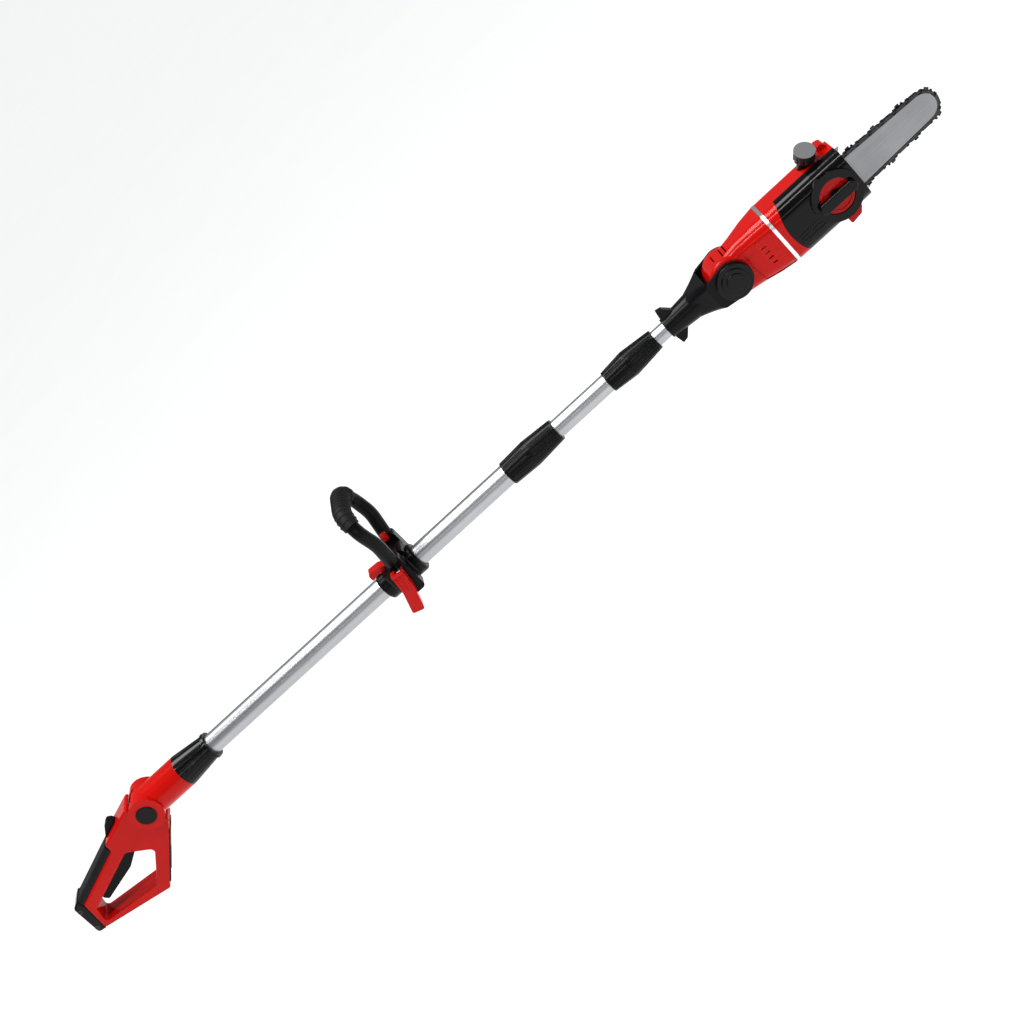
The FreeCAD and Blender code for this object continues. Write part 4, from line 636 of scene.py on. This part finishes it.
drive_tang = rounded_plate(size=(4.4, CENTRE_THICKNESS, 1.4), place=(0, 0, -2.0), corner=0.5)
centre_link = joined("centre_link", [centre_body, ramp, drive_tang])
print("centre link", len(centre_link.data.polygons), "faces")


# %% Cutters
CUTTER_CORNER = 1.6
TOP_LINE = 4.4 * MM
TOP_THICKNESS = 0.6 * MM
TOP_WIDTH = 2.3 * MM
TOP_RISE = 0.1 * MM
REAR_DROP = 0.5 * MM
REAR_TUCK = 0.7 * MM


def cutter_link(side):
    """Strap pair with a hooked cutter and its depth gauge on one side"""
    def inner_band(face):
        """Whether a face of the raised top looks to the chain's middle"""
        return face.normal.y * side < -SQUARELY and face.calc_center_median().z > TOP_LINE

    y = side * strap_y
    near = rounded_plate(strap_size, (0, y, 0), CUTTER_CORNER)
    far = rounded_plate(strap_size, (0, -y, 0), LINK_CORNER)
    gauge = rounded_plate(size=(3.0, STRAP_THICKNESS, 3.0), place=(span / 2 - 0.6, y, 2.4), corner=0.9)
    wall = plate(size=(6.4, STRAP_THICKNESS, 3.0), place=(-span / 2 + 2.2, y, 3.0))
    pick(wall, "FACE", lambda face: face.normal.z > SQUARELY)
    bpy.ops.mesh.extrude_region_move(TRANSFORM_OT_translate={"value": (0, 0, TOP_THICKNESS)})
    done()
    pick(wall, "FACE", inner_band)
    bpy.ops.mesh.extrude_region_move(TRANSFORM_OT_translate={"value": (0, -side * TOP_WIDTH, TOP_RISE)})
    done()
    pick(wall, "VERT", lambda vert: vert.co.z > TOP_LINE and vert.co.x < -span / 2 * MM)
    bpy.ops.transform.translate(value=(REAR_TUCK, 0, -REAR_DROP))
    done()
    return joined("cutter", [near, far, gauge, wall, rivet(-span / 2), rivet(span / 2)])


cutters = [cutter_link(-1), cutter_link(1)]
print("cutter faces", [len(cutter.data.polygons) for cutter in cutters])

# %% [markdown]
# ## The whole chain
# Each copy is turned so that its length lies between two stations, and moved to the middle of them.
# Every second link is a centre link, and the rest are by turns a cutter and a plain pair of straps,
# with the cutters on alternate sides. The finished chain replaces the frame's band and rides on the
# saw head.

# %% Links in place
ACROSS = Vector((0, 1, 0))
links = []
for number in range(LINKS):
    here = stations[number]
    after = stations[(number + 1) % LINKS]
    along = (here - after).normalized()
    if number % 2 == 0:
        master = centre_link
    elif number % 4 == 1:
        master = cutters[number // 4 % 2]
    else:
        master = side_straps
    copy = master.copy()
    copy.data = master.data.copy()
    bpy.context.scene.collection.objects.link(copy)
    turn = Matrix((along, ACROSS, along.cross(ACROSS))).transposed().to_4x4()
    copy.data.transform(Matrix.Translation((here + after) / 2) @ turn)
    links.append(copy)
for master in [side_straps, centre_link] + cutters:
    bpy.data.objects.remove(master)
print("links placed", len(links))

# %% Finished chain
chain = joined("chain_links", links)
dress(chain, chain_metal)
only(chain)
bpy.ops.object.shade_smooth_by_angle(angle=radians(35))
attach(chain, "head")
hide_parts("saw_chain")
print("chain faces", len(chain.data.polygons))

# %% [markdown]
# ## Finger ribs on the cam lever
# Three full ribs stand on the lever's outer face where a thumb pushes it. Each is a cylinder with
# its ends bevelled round, and is partly sunk in the face, so that it shows as a rounded ridge. It
# leans as the lever does, and its place is measured from the lever's own box.


# %% One rib
RIB_RADIUS = 1.5 * MM
RIB_LENGTH = 25 * MM
RIB_SIDES = 16
RIB_ROUNDING = 0.7 * MM
RIB_LEAN = radians(14)
LEVEL_WITHIN = 0.1 * MM


def round_end(edge):
    """Whether an edge runs round an end of an upright cylinder"""
    return abs(edge.verts[0].co.z - edge.verts[1].co.z) < LEVEL_WITHIN


def lever_rib(place):
    """Round-ended bar that leans as the lever does"""
    deselect()
    bpy.ops.mesh.primitive_cylinder_add(vertices=RIB_SIDES, radius=RIB_RADIUS, depth=RIB_LENGTH)
    rib = bpy.context.object
    pick(rib, "EDGE", round_end)
    bpy.ops.mesh.bevel(offset=RIB_ROUNDING, segments=2, affect="EDGES")
    done()
    rib.rotation_euler = (0, RIB_LEAN, 0)
    rib.location = place
    only(rib)
    bpy.ops.object.transform_apply(location=True, rotation=True, scale=True)
    return rib


print("a rib is", RIB_LENGTH / MM, "mm long")

# %% Lever ribs
RIB_COUNT = 3
RIB_PITCH = 5.2 * MM
RIB_BEHIND_TOP = 12.5 * MM
RIB_BELOW_TOP = 18.5 * MM
RIB_INSET = 2.5 * MM
lever_low, lever_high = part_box("cam_lever")
rib_middle = Vector((lever_high.x - RIB_BEHIND_TOP, lever_low.y + RIB_INSET, lever_high.z - RIB_BELOW_TOP))
ribs = []
for number in range(RIB_COUNT):
    steps = number - (RIB_COUNT - 1) / 2
    ribs.append(lever_rib(rib_middle + Vector((steps * RIB_PITCH, 0, 0))))
lever_ribs = joined("lever_ribs", ribs)
dress(lever_ribs, red_gloss)
only(lever_ribs)
bpy.ops.object.shade_smooth_by_angle(angle=radians(40))
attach(lever_ribs, "cam_lever")
print("lever ribs", len(ribs))

# %% [markdown]
# ## The floor's finish
# The floor is a matt, nearly white sheet. A faint cloudiness keeps it from looking like empty
# space where the tool's soft shadow falls.

# %% Floor finish
FLOOR_ROUGHNESS = 0.9
FLOOR_SHADE = (0.90, 0.90, 0.90)
FLOOR_LIGHT = (0.93, 0.93, 0.93)
CLOUD_SCALE = 3.0
floor_material, floor_shader, floor_place = new_material("pale_floor")
clouds = noise(floor_place, CLOUD_SCALE)
feed(floor_shader, "Base Color", blended(clouds, FLOOR_SHADE, FLOOR_LIGHT))
floor_shader.inputs["Roughness"].default_value = FLOOR_ROUGHNESS
dress(floor, floor_material)
print("floor finished")

# %% [markdown]

# %% Finish
bpy.context.view_layer.update()
